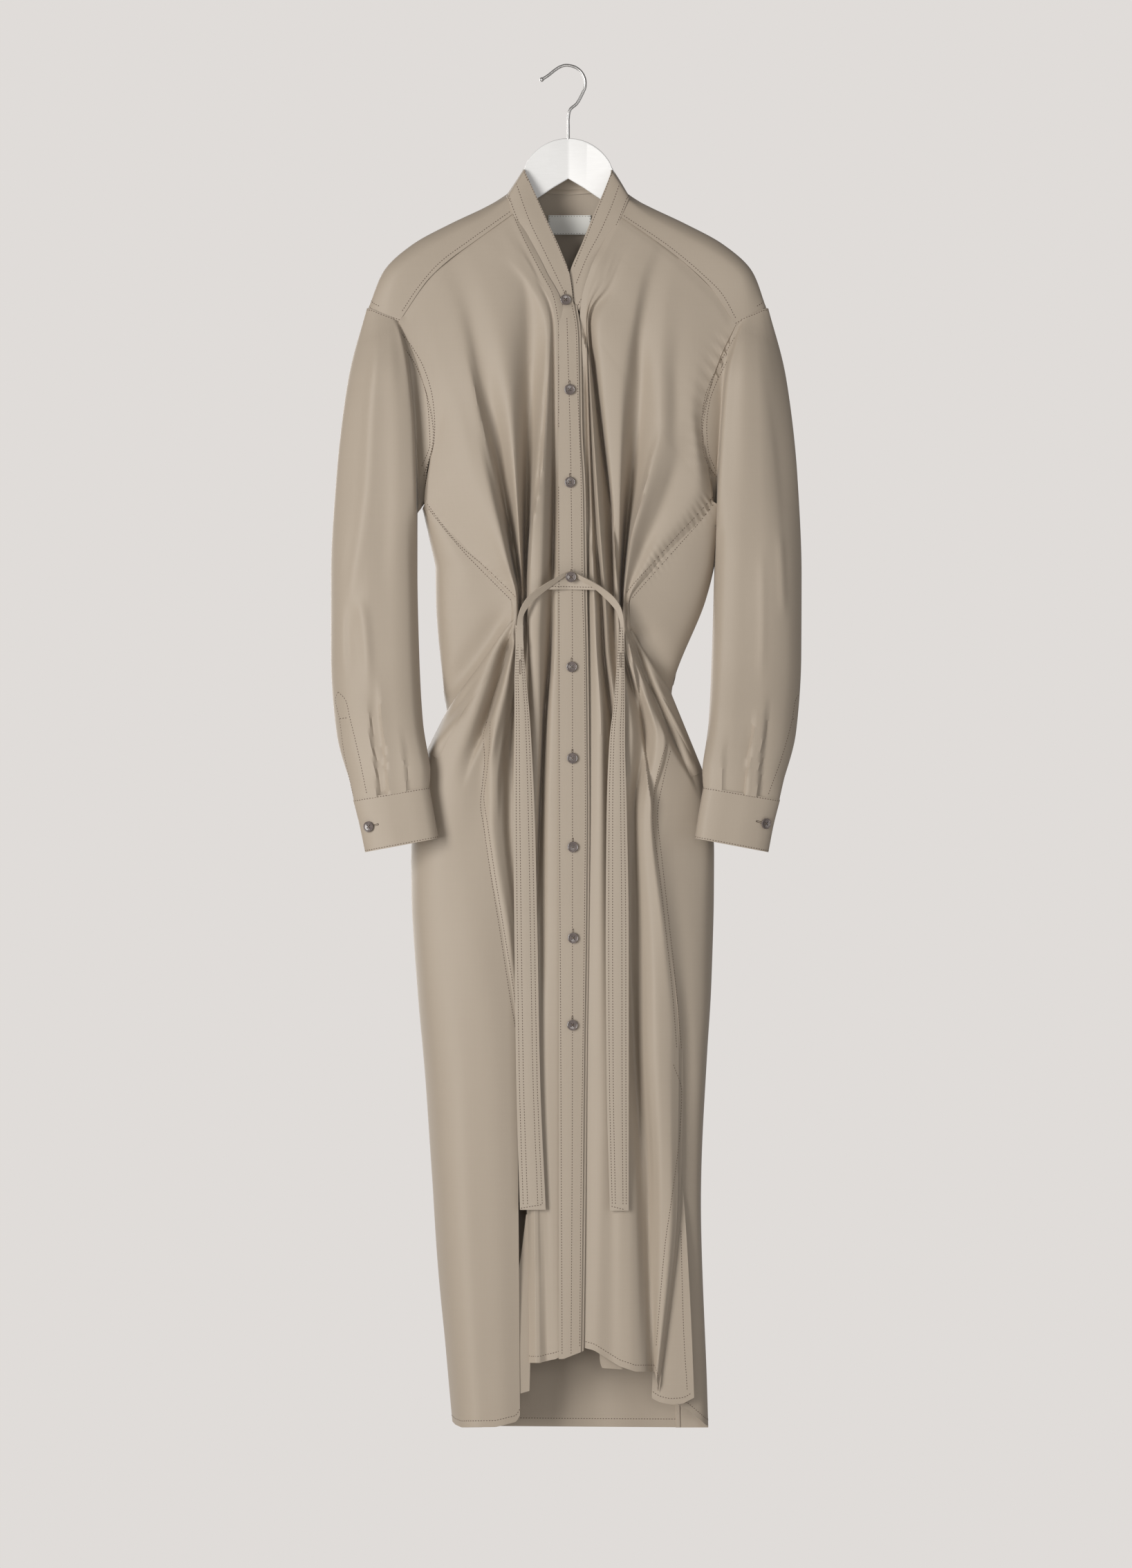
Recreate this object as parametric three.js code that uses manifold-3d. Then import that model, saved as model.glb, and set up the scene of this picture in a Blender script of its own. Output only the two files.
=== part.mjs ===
// A long shirt dress in plain cotton, hung on a white hanger: band collar, full button placket, dropped
// sleeves with pleated cuffs, fronts gathered to two points by a tie belt, and a shirt-tail hem with
// slits.
// Millimetres, +Z up, +X to the right as seen from the front, and the front faces -Y.
// The origin is where a nail or rail bears, under the top of the hanger's hook.
import * as THREE from "three";
import Module from "manifold-3d";
import { mergeVertices } from "three/addons/utils/BufferGeometryUtils.js";

const wasm = await Module();
wasm.setup();

// Driving sizes
const CLOTH = 1.2; // one layer of cloth
const GAP = 0.3; // between pieces that are sewn together
const LOOSE_GAP = 0.8; // at the long curved seams, whose two edges don't lie in one plane
const BUTTON_RADIUS = 5.8;
const HANGER_SWEEP = 0.1; // how far the shoulders come forward for each mm across
const SWEEP_TOP = -300; // above this the cloth follows the hanger
const SWEEP_END = -720; // below this it hangs straight

const cloth = new THREE.MeshStandardMaterial({ color: 0xa89b89, roughness: 0.75, metalness: 0 });
const horn = new THREE.MeshStandardMaterial({ color: 0x5d534f, roughness: 0.35, metalness: 0 });
const whitePaint = new THREE.MeshStandardMaterial({ color: 0xf3f3f2, roughness: 0.45, metalness: 0 });
const chrome = new THREE.MeshStandardMaterial({ color: 0xc9c9c6, roughness: 0.2, metalness: 1 });
const satin = new THREE.MeshStandardMaterial({ color: 0xdfe0db, roughness: 0.5, metalness: 0 });

const mix = (a, b, t) => a + (b - a) * t;
const dress = new THREE.Group();

// Slopes of a monotone cubic through evenly spaced values: flat at crests and troughs, never
// overshooting.
function slopes(values) {
  const last = values.length - 1;
  return values.map((v, i) => {
    if (i === 0) return values[1] - values[0];
    if (i === last) return values[last] - values[last - 1];
    const before = v - values[i - 1];
    const after = values[i + 1] - v;
    if (before * after <= 0) return 0;
    return (2 * before * after) / (before + after);
  });
}

// The curve through some points, with the given number of steps in each span.
function curveThrough(points, steps) {
  const stepsAt = (i) => (Array.isArray(steps) ? steps[i] : steps);
  const axes = [0, 1, 2].map((k) => points.map((p) => p[k]));
  const tangents = axes.map(slopes);
  const made = [];
  for (let i = 0; i < points.length - 1; i++) {
    for (let s = 0; s < stepsAt(i); s++) {
      const t = s / stepsAt(i);
      const [t2, t3] = [t * t, t ** 3];
      const h = [2 * t3 - 3 * t2 + 1, t3 - 2 * t2 + t, -2 * t3 + 3 * t2, t3 - t2];
      made.push(
        axes.map((v, k) => {
          const [from, to] = [tangents[k][i], tangents[k][i + 1]];
          return h[0] * v[i] + h[1] * from + h[2] * v[i + 1] + h[3] * to;
        }),
      );
    }
  }
  made.push(points.at(-1).slice());
  return made;
}

// A net of points, refined along its rows and then down its columns.
function refine(net, across, down) {
  const wide = net.map((row) => curveThrough(row, across));
  const columns = wide[0].map((_, c) => curveThrough(wide.map((row) => row[c]), down));
  return columns[0].map((_, r) => columns.map((column) => column[r]));
}

// The shoulders follow the hanger's two arms, which sweep forward, and the cloth below hangs straight.
function sweepAt(x, z) {
  const fade = THREE.MathUtils.smoothstep(z, SWEEP_END, SWEEP_TOP);
  return HANGER_SWEEP * (Math.hypot(x, 30) - 30) * fade;
}

// Moves the free edges of a sheet inward, so that neighbours keep their gap.
function inset(sheet, amount, closed) {
  const pulled = sheet.map((row) => row.map((p) => p.slice()));
  const pull = (edge, inner) => {
    const away = inner.map((v, k) => v - edge[k]);
    const length = Math.hypot(...away) || 1;
    return edge.map((v, k) => v + (away[k] * Math.min(amount, length * 0.4)) / length);
  };
  const lastRow = sheet.length - 1;
  sheet[0].forEach((p, c) => (pulled[0][c] = pull(p, sheet[1][c])));
  sheet[lastRow].forEach((p, c) => (pulled[lastRow][c] = pull(p, sheet[lastRow - 1][c])));
  if (!closed) {
    pulled.forEach((row) => {
      const last = row.length - 1;
      const ends = [pull(row[0], row[1]), pull(row[last], row[last - 1])];
      row[0] = ends[0];
      row[last] = ends[1];
    });
  }
  return pulled;
}

// A wall of cloth with closed rims. side is the way its thickness goes from the sheet, +1 along the
// sheet's own normal, and clear makes it larger all round, to cut a neighbour back by that much.
function wall(sheet, { side = 1, thick = CLOTH, closed = false, gap = GAP }, clear = 0) {
  const grid = inset(sheet, gap - clear, closed).map((row) =>
    row.map(([x, y, z]) => new THREE.Vector3(x, y - sweepAt(x, z), z)),
  );
  const rows = grid.length;
  const columns = grid[0].length;
  const around = (c) => (closed ? (c + columns) % columns : Math.min(columns - 1, Math.max(0, c)));
  const at = (r, c) => grid[Math.min(rows - 1, Math.max(0, r))][around(c)];
  const normals = grid.map((row, r) =>
    row.map((_, c) => {
      const across = at(r, c + 1).clone().sub(at(r, c - 1));
      const down = at(r + 1, c).clone().sub(at(r - 1, c));
      return across.cross(down).normalize().multiplyScalar(side);
    }),
  );
  const offset = (amount) =>
    grid.map((row, r) => row.map((p, c) => p.clone().addScaledVector(normals[r][c], amount)));
  const positions = [...offset(-clear).flat(), ...offset(thick + clear).flat()].flatMap((p) => p.toArray());
  const outerAt = (r, c) => r * columns + ((c + columns) % columns);
  const innerAt = (r, c) => rows * columns + outerAt(r, c);
  const faces = [];
  const quad = (a, b, c, d) => faces.push(a, b, c, a, c, d);
  const spans = closed ? columns : columns - 1;
  for (let r = 0; r < rows - 1; r++) {
    for (let c = 0; c < spans; c++) {
      quad(outerAt(r, c), outerAt(r + 1, c), outerAt(r + 1, c + 1), outerAt(r, c + 1));
      quad(innerAt(r, c), innerAt(r, c + 1), innerAt(r + 1, c + 1), innerAt(r + 1, c));
    }
  }
  for (let c = 0; c < spans; c++) {
    const last = rows - 1;
    quad(outerAt(0, c), outerAt(0, c + 1), innerAt(0, c + 1), innerAt(0, c));
    quad(outerAt(last, c), innerAt(last, c), innerAt(last, c + 1), outerAt(last, c + 1));
  }
  for (let r = 0; r < rows - 1 && !closed; r++) {
    const last = columns - 1;
    quad(outerAt(r, 0), innerAt(r, 0), innerAt(r + 1, 0), outerAt(r + 1, 0));
    quad(outerAt(r, last), outerAt(r + 1, last), innerAt(r + 1, last), innerAt(r, last));
  }
  return solidOf(positions, faces);
}

// A solid from points and faces, turned so that its volume is positive.
function solidOf(positions, faces) {
  const corner = (i) => new THREE.Vector3().fromArray(positions, faces[i] * 3);
  let volume = 0;
  for (let i = 0; i < faces.length; i += 3) {
    volume += corner(i).dot(corner(i + 1).cross(corner(i + 2)));
  }
  if (volume < 0) {
    for (let i = 0; i < faces.length; i += 3) [faces[i + 1], faces[i + 2]] = [faces[i + 2], faces[i + 1]];
  }
  const mesh = new wasm.Mesh({
    numProp: 3,
    vertProperties: Float32Array.from(positions),
    triVerts: Uint32Array.from(faces),
  });
  mesh.merge();
  return new wasm.Manifold(mesh);
}

function solidFrom(geometry) {
  const plain = new THREE.BufferGeometry();
  plain.setAttribute("position", geometry.getAttribute("position"));
  plain.setIndex(geometry.index);
  const merged = mergeVertices(plain, 1e-3);
  const index = merged.index.array;
  const faces = [];
  for (let i = 0; i < index.length; i += 3) {
    const [a, b, c] = index.slice(i, i + 3);
    if (a !== b && b !== c && c !== a) faces.push(a, b, c);
  }
  return solidOf([...merged.attributes.position.array], faces);
}

function geometryOf(solid) {
  const { vertProperties, triVerts } = solid.getMesh();
  const geometry = new THREE.BufferGeometry();
  geometry.setAttribute("position", new THREE.BufferAttribute(Float32Array.from(vertProperties), 3));
  geometry.setIndex(new THREE.BufferAttribute(Uint32Array.from(triVerts), 1));
  return geometry;
}

// Pieces in the order in which they keep their shape: each is cut back to clear those before it.
const pieces = [];

function sew(name, sheet, options, material = cloth) {
  pieces.push({ name, material, solid: wall(sheet, options), room: wall(sheet, options, GAP) });
}

function keep(name, solid, material) {
  pieces.push({ name, material, solid, room: solid });
}

function cutBack() {
  pieces.forEach((piece, i) => {
    const cutters = pieces.slice(0, i).map((earlier) => earlier.room);
    const bodies = piece.solid.subtract(wasm.Manifold.union(cutters)).decompose();
    const whole = bodies.reduce((best, body) => (body.volume() > best.volume() ? body : best));
    const mesh = new THREE.Mesh(geometryOf(whole.simplify(0.04)), piece.material);
    mesh.name = piece.name;
    dress.add(mesh);
  });
}

// One section across a front: from the side seam to the placket on a slanted, slightly bowed line.
function frontSection({ z, bow = 0, x, out }) {
  const list = z.length === x.length;
  return x.map((px, i) => {
    const t = (px - x[0]) / (x.at(-1) - x[0]);
    const pz = list ? z[i] : mix(z[0], z[1], t) + bow * 4 * t * (1 - t);
    return [px, -out[i], pz];
  });
}

// Left front as seen. Columns: side seam, flat, crest, trough, crest, trough, crest, crest, trough,
// lap, placket. z is the height at the side seam and at the placket, x is across, out is how far the
// cloth stands forward.
const LEFT_FRONT = [
  { z: [-276, -159], bow: 14, x: [-182, -160, -140, -128, -108, -94, -84, -76, -70, -64, -58],
    out: [14, 16, 17, 17, 18, 18, 18, 18, 18, 18, 18] },
  { z: [-323, -185], bow: 9, x: [-162, -144, -128, -118, -92, -72, -64, -59, -55, -51, -47],
    out: [18, 23, 25, 22, 26, 23, 24, 25, 24, 24, 24] },
  { z: [-397, -221], bow: 5, x: [-144, -130, -114, -103, -74, -46, -40, -37, -34, -32, -29],
    out: [20, 28, 34, 26, 34, 25, 30, 30, 29, 28, 28] },
  { z: [-469, -275], x: [-152, -126, -104, -91, -64, -41, -22, -18, -15, -13, -9],
    out: [18, 31, 38, 24, 38, 22, 36, 34, 30, 31, 31] },
  { z: [-544, -455], x: [-88, -77, -67, -60, -52, -44, -36, -26, -15, -12, -9],
    out: [33, 38, 44, 24, 42, 23, 43, 42, 30, 34, 35] },
  { z: [-584, -584], x: [-60, -57, -54, -51, -48, -45, -41, -30, -17, -13, -9],
    out: [37, 40, 42, 37, 41, 36, 43, 45, 33, 37, 38] },
  { z: [-626, -632], x: [-63, -60, -57, -53, -49, -45, -40, -31, -19, -15, -9],
    out: [38, 43, 40, 33, 40, 37, 43, 45, 31, 38, 40] },
  { z: [-722, -721], x: [-88, -80, -70, -61, -52, -44, -35, -29, -24, -18, -9],
    out: [38, 45, 38, 27, 35, 39, 44, 43, 27, 40, 42] },
  { z: [-812, -812], x: [-90, -81, -71, -62, -53, -44, -37, -32, -27, -20, -9],
    out: [42, 47, 42, 33, 37, 41, 45, 44, 31, 42, 44] },
  { z: [-945, -945], x: [-69, -63, -57, -51, -46, -41, -37, -33, -29, -20, -9],
    out: [45, 46, 42, 38, 39, 41, 43, 42, 37, 44, 46] },
  { z: [-1045, -1045], x: [-55, -52, -49, -46, -43, -40, -37, -33, -28, -20, -9],
    out: [44, 44, 43, 42, 42, 43, 43, 43, 43, 45, 46] },
  { z: [-1243, -1243], x: [-53, -49, -46, -43, -40, -36, -32, -28, -23, -16, -9],
    out: [31, 33, 38, 45, 47, 47, 46, 46, 46, 47, 47] },
  { z: [-1441, -1439, -1412, -1399, -1404, -1406, -1406, -1405, -1404, -1403, -1401],
    x: [-52, -48, -45, -42, -37, -32, -27, -23, -18, -13, -7],
    out: [29, 32, 39, 46, 50, 50, 48, 46, 47, 48, 49] },
];

// Right front as seen, from the placket out to the side seam. Columns: placket, trough, crest, trough,
// crest, trough, crest, swell, trough, crest, dip, swell, side seam.
const RIGHT_FRONT = [
  { z: [-163, -280], bow: 11, x: [59, 62, 65, 69, 73, 78, 84, 95, 108, 125, 143, 163, 183],
    out: [18, 18, 18, 18, 18, 18, 18, 18, 17, 17, 17, 16, 14] },
  { z: [-193, -321], bow: 8, x: [44, 47, 50, 53, 56, 60, 66, 80, 92, 110, 128, 147, 164],
    out: [24, 24, 24, 24, 24, 24, 25, 26, 22, 25, 24, 22, 18] },
  { z: [-220, -389], bow: 4, x: [31, 34, 37, 40, 43, 46, 52, 70, 82, 104, 120, 135, 147],
    out: [28, 28, 28, 28, 28, 27, 30, 33, 25, 32, 27, 28, 20] },
  { z: [-275, -469], x: [20, 22, 24, 26, 28, 31, 37, 60, 78, 103, 121, 141, 157],
    out: [28, 28, 30, 28, 31, 26, 36, 39, 25, 38, 30, 31, 18] },
  { z: [-460, -539], x: [20, 23, 26, 29, 34, 47, 51, 57, 64, 70, 82, 91, 97.5],
    out: [29, 29, 35, 30, 40, 23, 42, 42, 22, 44, 35, 38, 34] },
  { z: [-584, -584], x: [20, 23, 30, 37, 42, 50, 53, 56, 59, 62, 64, 66, 68],
    out: [31, 32, 40, 32, 42, 36, 41, 42, 37, 42, 39, 40, 37] },
  { z: [-632, -630], x: [20, 24, 32, 39, 44, 52, 55, 58, 61, 64, 67, 70, 73],
    out: [34, 35, 43, 30, 42, 38, 42, 41, 36, 42, 38, 42, 39] },
  { z: [-721, -730], x: [20, 25, 37, 48, 53, 58, 63, 70, 82, 90, 98, 105, 110],
    out: [37, 38, 45, 27, 40, 43, 44, 44, 28, 38, 46, 46, 41] },
  { z: [-812, -812], x: [20, 25, 37, 48, 53, 58, 63, 68, 73, 79, 85, 90, 94],
    out: [40, 41, 47, 35, 42, 44, 42, 36, 34, 43, 47, 48, 44] },
  { z: [-945, -945], x: [19, 24, 36, 47, 53, 59, 64, 69, 76, 85, 94, 103, 111],
    out: [43, 44, 48, 42, 45, 44, 38, 33, 37, 46, 50, 50, 45] },
  { z: [-1065, -1065], x: [18, 24, 36, 47, 54, 61, 67, 73, 80, 89, 99, 111, 122],
    out: [44, 45, 48, 46, 47, 44, 36, 32, 39, 48, 52, 50, 43] },
  { z: [-1230, -1230], x: [17, 24, 36, 48, 58, 67, 75, 82, 88, 95, 103, 112, 120],
    out: [45, 46, 50, 49, 51, 50, 46, 36, 33, 41, 48, 49, 43] },
  { z: [-1393, -1394, -1398, -1406, -1412, -1416, -1417, -1416, -1418, -1422, -1428, -1431, -1434],
    x: [14, 20, 33, 47, 58, 68, 78, 86, 90, 93, 95, 97, 99],
    out: [46, 47, 51, 50, 52, 53, 51, 46, 38, 35, 38, 41, 38] },
];

const frontDown = [2, 2, 2, 2, 2, 1, 2, 1, 2, 1, 2, 2];

const leftFront = refine(LEFT_FRONT.map(frontSection), [2, 2, 2, 2, 2, 2, 1, 1, 1, 1], frontDown);
const rightAcross = [1, 1, 1, 1, 2, 2, 2, 2, 2, 2, 1, 1];
const rightFront = refine(RIGHT_FRONT.map(frontSection), rightAcross, frontDown);

// Side panels. edge is the outermost point across and its height, folds are how far three lines between
// the seam and that edge stand forward, and wrap is where the panel ends on the back.
const LEFT_SIDE = [
  { row: 3, edge: [-157, -480], folds: [17, 15, 9], wrap: -138 },
  { row: 4, edge: [-148, -587], folds: [31, 26, 17], wrap: -120 },
  { row: 5, edge: [-132, -706], folds: [31, 24, 14], wrap: -102 },
  { row: 6, edge: [-158, -780], folds: [42, 38, 26], wrap: -112 },
  { row: 7, edge: [-166, -858], folds: [44, 39, 25], wrap: -120 },
  { row: 8, edge: [-166, -900], folds: [43, 40, 27], wrap: -124 },
  { row: 9, edge: [-160, -1005], folds: [49, 45, 31], wrap: -122 },
  { row: 10, edge: [-153, -1090], folds: [50, 48, 32], wrap: -118 },
  { row: 11, edge: [-140, -1290], folds: [50, 51, 34], wrap: -106 },
  { row: 12, edge: [-122, -1455], folds: [49, 52, 34], wrap: -92, slit: [-51, -1462, 44] },
];
const RIGHT_SIDE = [
  { row: 3, edge: [158, -480], folds: [17, 15, 9], wrap: 138 },
  { row: 4, edge: [148, -570], folds: [32, 27, 17], wrap: 122 },
  { row: 5, edge: [114, -684], folds: [32, 25, 14], wrap: 98 },
  { row: 6, edge: [148, -772], folds: [40, 34, 22], wrap: 110 },
  { row: 7, edge: [157, -850], folds: [34, 29, 20], wrap: 118 },
  { row: 8, edge: [157, -900], folds: [36, 30, 21], wrap: 120 },
  { row: 9, edge: [154, -1000], folds: [36, 31, 21], wrap: 118 },
  { row: 10, edge: [149, -1080], folds: [33, 29, 20], wrap: 115 },
  { row: 11, edge: [143, -1230], folds: [29, 25, 18], wrap: 112, slit: [122, -1230, 32] },
  { row: 12, edge: [152, -1462], folds: [26, 22, 15], wrap: 118, slit: [112, -1456, 28] },
];
const FOLD_PLACES = [0.3, 0.6, 0.88]; // where the three lines lie between the seam and the edge
const BACK_OUT = 24; // how far the back stands behind the hanger

// One section round a side panel, from its front seam over its edge to its back seam. slit is where the
// free edge below the seam hangs: across, height and out.
function sideSection({ row, edge, folds, wrap, slit }, front, seamColumn) {
  const start = slit ? [slit[0], -slit[2], slit[1]] : front[row].at(seamColumn);
  const between = folds.map((out, i) => [
    mix(start[0], edge[0], FOLD_PLACES[i]), -out, mix(start[2], edge[1], FOLD_PLACES[i]),
  ]);
  const behind = mix(edge[0], wrap, 0.35);
  const z = edge[1];
  return [start, ...between, [edge[0], 0, z], [behind, BACK_OUT * 0.8, z], [wrap, BACK_OUT, z]];
}

const leftNodes = LEFT_FRONT.map(frontSection);
const rightNodes = RIGHT_FRONT.map(frontSection);
const sideDown = [2, 2, 2, 2, 1, 1, 1, 1, 2];
const sideAcross = [2, 1, 1, 2, 2, 1];
const leftSide = refine(LEFT_SIDE.map((row) => sideSection(row, leftNodes, 0)), sideAcross, sideDown);
const rightSide = refine(RIGHT_SIDE.map((row) => sideSection(row, rightNodes, -1)), sideAcross, sideDown);

// The back hangs from the yoke between the two side panels, in shallow folds.
const BACK_TOP = -250;
const BACK_ARMHOLE = [
  [[-184, 15, BACK_TOP], [186, 15, BACK_TOP]],
  [[-162, 19, -320], [162, 19, -320]],
  [[-145, 21, -397], [146, 21, -397]],
];
const BACK_PLACES = [0, 0.14, 0.28, 0.4, 0.5, 0.6, 0.72, 0.86, 1]; // across, from one edge to the other
const BACK_FOLDS = [0, 4, -3, 3, -4, 3, -3, 4, 0];
const backEdges = [
  ...BACK_ARMHOLE,
  ...LEFT_SIDE.map((row, i) => [
    [row.wrap, BACK_OUT, row.edge[1]],
    [RIGHT_SIDE[i].wrap, BACK_OUT, RIGHT_SIDE[i].edge[1]],
  ]),
];
const backNodes = backEdges.map(([left, right], r) => {
  const depth = Math.min(1, r / 4);
  return BACK_PLACES.map((t, c) => {
    const bulge = (BACK_OUT + 2 - left[1]) * Math.sin(Math.PI * t);
    const out = mix(left[1], right[1], t) + bulge + BACK_FOLDS[c] * depth;
    return [mix(left[0], right[0], t), out, mix(left[2], right[2], t)];
  });
});
const back = refine(backNodes, 1, [1, 1, 1, ...sideDown]);

// The yoke goes over the shoulders and round the back of the neck. Each line runs from the neck to its
// outer edge.
const YOKE = [
  frontSection({
    z: [-276, -159],
    bow: 14,
    x: [-182, -150, -128, -104, -80, -58],
    out: [14, 17, 18, 18, 18, 18],
  }).reverse(),
  [
    [-64, -11, -142], [-86, -13, -159], [-118, -14, -177],
    [-151, -14, -195], [-181, -13, -216], [-199, -10, -270],
  ],
  [[-65, 0, -135], [-90, 0, -152], [-128, 0, -171], [-165, 0, -191], [-188, 0, -206], [-215, 0, -261]],
  [
    [-52, 12, -131], [-78, 12, -158], [-108, 13, -184],
    [-138, 14, -206], [-162, 15, -220], [-186, 15, BACK_TOP],
  ],
  [
    [-30, 20, -133], [-42, 22, -158], [-56, 24, -184],
    [-70, 25, -208], [-82, 26, -228], [-95, 26, BACK_TOP],
  ],
  [[1, 22, -135], [1, 24, -160], [1, 26, -184], [1, 27, -208], [1, 27, -230], [1, 27, BACK_TOP]],
  [[32, 20, -133], [44, 22, -158], [58, 24, -184], [72, 25, -208], [84, 26, -228], [97, 26, BACK_TOP]],
  [
    [54, 12, -131], [80, 12, -158], [110, 13, -184],
    [140, 14, -206], [164, 15, -220], [188, 15, BACK_TOP],
  ],
  [[67, 0, -135], [92, 0, -152], [130, 0, -171], [168, 0, -191], [190, 0, -206], [216, 0, -261]],
  [
    [66, -11, -143], [88, -13, -160], [120, -14, -178],
    [153, -14, -196], [184, -13, -217], [201, -10, -271],
  ],
  frontSection({ z: [-163, -280], bow: 11, x: [59, 82, 106, 130, 156, 183], out: [18, 18, 18, 17, 16, 14] }),
];
const yoke = refine(YOKE, 1, [2, 1, 2, 1, 1, 1, 1, 2, 1, 2]);

// A sleeve. Columns go round from the front of the inner edge, over the outer edge and back: how far
// across the sleeve, and how deep against its half depth.
const ROUND = [
  [0, 0.35], [0.1, 0.85], [0.3, 1], [0.55, 1], [0.85, 0.7], [1, 0], [0.85, -0.7], [0.55, -1],
  [0.3, -1], [0.12, -0.85], [0.04, -0.6], [0, -0.3], [-0.01, -0.1], [-0.01, 0.08], [0, 0.22],
];
const ARMHOLE = [
  [-182, 14, -276], [-187, 13, -273], [-194, 12, -270],
  [-202, 10, -267], [-211, 6, -263], [-217, 0, -262],
  [-208, -9, -262], [-196, -14, -261], [-185, -16, -262],
  [-164, -19, -320], [-146, -21, -397], [-153, 0, -472],
  [-152, 14, -440], [-144, 21, -397], [-160, 18, -325],
];
const UPPER_ARM = [
  [-171, 26, -340], [-180, 31, -342], [-191, 34, -342],
  [-206, 31, -340], [-223, 20, -338], [-237, 0, -338],
  [-222, -18, -340], [-203, -26, -345], [-187, -28, -352],
  [-172, -27, -388], [-160, -22, -440], [-158, -4, -479],
  [-159, 8, -458], [-161, 14, -428], [-167, 17, -375],
];
const UNDER_ARM = [
  [-164, 26, -445], [-175, 33, -446], [-190, 36, -446],
  [-210, 33, -445], [-232, 21, -444], [-250, 0, -444],
  [-235, -18, -445], [-212, -27, -448], [-192, -28, -452],
  [-176, -25, -465], [-168, -18, -480], [-163, -7, -489],
  [-162, 1, -484], [-162, 8, -476], [-163, 16, -460],
];
// Lower rings: the inner and outer edges across and down, half the depth, and how far forward the
// middle is.
const FOREARM = [
  { inner: [-163, -550], outer: [-256, -550], half: 32, ahead: 4 },
  { inner: [-161, -640], outer: [-256, -640], half: 30, ahead: 13 },
  { inner: [-157, -711], outer: [-250, -722], half: 28, ahead: 30 },
  { inner: [-149, -763], outer: [-236, -774], half: 19, ahead: 45 },
  { inner: [-150, -781.6], outer: [-231, -795.6], half: 13.4, ahead: 49.5 },
];
const CUFF = [
  { inner: [-150, -781.2], outer: [-232, -795.2], half: 13.5, ahead: 49.5 },
  { inner: [-145, -809], outer: [-225, -823], half: 14, ahead: 50.5 },
  { inner: [-140, -837], outer: [-219, -852], half: 14.5, ahead: 51.5 },
];
const ringOf = ({ inner, outer, half, ahead }) =>
  ROUND.map(([t, depth]) => [
    mix(inner[0], outer[0], t), -ahead - depth * half, mix(inner[1], outer[1], t),
  ]);
const givenRing = (ring) => ring.map(([x, out, z]) => [x, -out, z]);

// The other sleeve is the mirror of the first, with small differences at the inner edge.
const MIRROR_SHIFT = [3, 2, 0, -4, -5, -4, -2, -2];
const CUFF_SHIFT = [-2, -2, -1];
const mirrored = (rings, shifts) =>
  rings.map((ring, r) => ring.map(([x, y, z]) => [shifts[r] * (1 + x / 400) - x, y, z]));

// A ring refined round and down, its last point not repeated.
function refineRings(rings, down) {
  const wrapped = rings.map((ring) => [...ring, ring[0]]);
  return refine(wrapped, 1, down).map((row) => row.slice(0, -1));
}

const sleeveRings = [...[ARMHOLE, UPPER_ARM, UNDER_ARM].map(givenRing), ...FOREARM.map(ringOf)];
const cuffRings = CUFF.map(ringOf);
const sleeveDown = [2, 2, 2, 2, 2, 2, 1];
const leftSleeve = refineRings(sleeveRings, sleeveDown);
const rightSleeve = refineRings(mirrored(sleeveRings, MIRROR_SHIFT), sleeveDown);
const leftCuff = refineRings(cuffRings, 1);
const rightCuff = refineRings(mirrored(cuffRings, CUFF_SHIFT), 1);

// The neck band, from its lower end on the left lap, round the back of the neck, to the end under the
// lap. Each line runs from the free edge to the seam.
const BAND = [
  [[7, -27, -257], [-3, -27.5, -257.5], [-13, -27, -257.5]],
  [[3, -26, -226], [-10, -26.5, -231], [-22, -26, -235]],
  [[-6, -25, -201], [-20, -25.5, -207], [-34, -24, -213]],
  [[-20, -23, -170], [-33, -23.5, -178], [-47, -21, -185]],
  [[-32, -19, -143], [-45, -19.5, -150], [-59, -18, -158]],
  [[-46, -12, -114], [-55.5, -12.5, -126], [-65, -11.5, -141]],
  [[-51, 1, -105.5], [-59.5, 1, -117], [-67, 0, -132.5]],
  [[-39, 13, -104.5], [-46, 14, -116.5], [-52, 14, -130]],
  [[-20, 18, -106], [-25, 20, -119], [-29, 20, -132]],
  [[1, 20, -107], [1, 22, -120], [1, 23, -134]],
  [[22, 18, -106], [27, 20, -119], [31, 20, -132]],
  [[41, 13, -104.5], [48, 14, -116.5], [54, 14, -130]],
  [[53, 1, -105.5], [61.5, 1, -117], [69, 0, -132.5]],
  [[48, -12, -115], [57.5, -12.5, -127], [67, -11.5, -142]],
  [[40, -17, -135], [49, -18, -148], [59, -18, -162]],
  [[28, -20, -162], [36, -21, -178], [45, -21, -193]],
  [[16, -22, -192], [24, -22.5, -206], [32, -23, -220]],
  [[5, -22.5, -217], [13, -23.5, -231], [20, -25, -246]],
  [[-2, -23, -240], [5, -24, -250], [13, -25.5, -264]],
];
const band = refine(BAND, [1, 1], [1, 1, 1, 1, 2, 2, 2, 1, 1, 1, 1, 2, 2, 2, 1, 1, 1, 1]);

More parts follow.
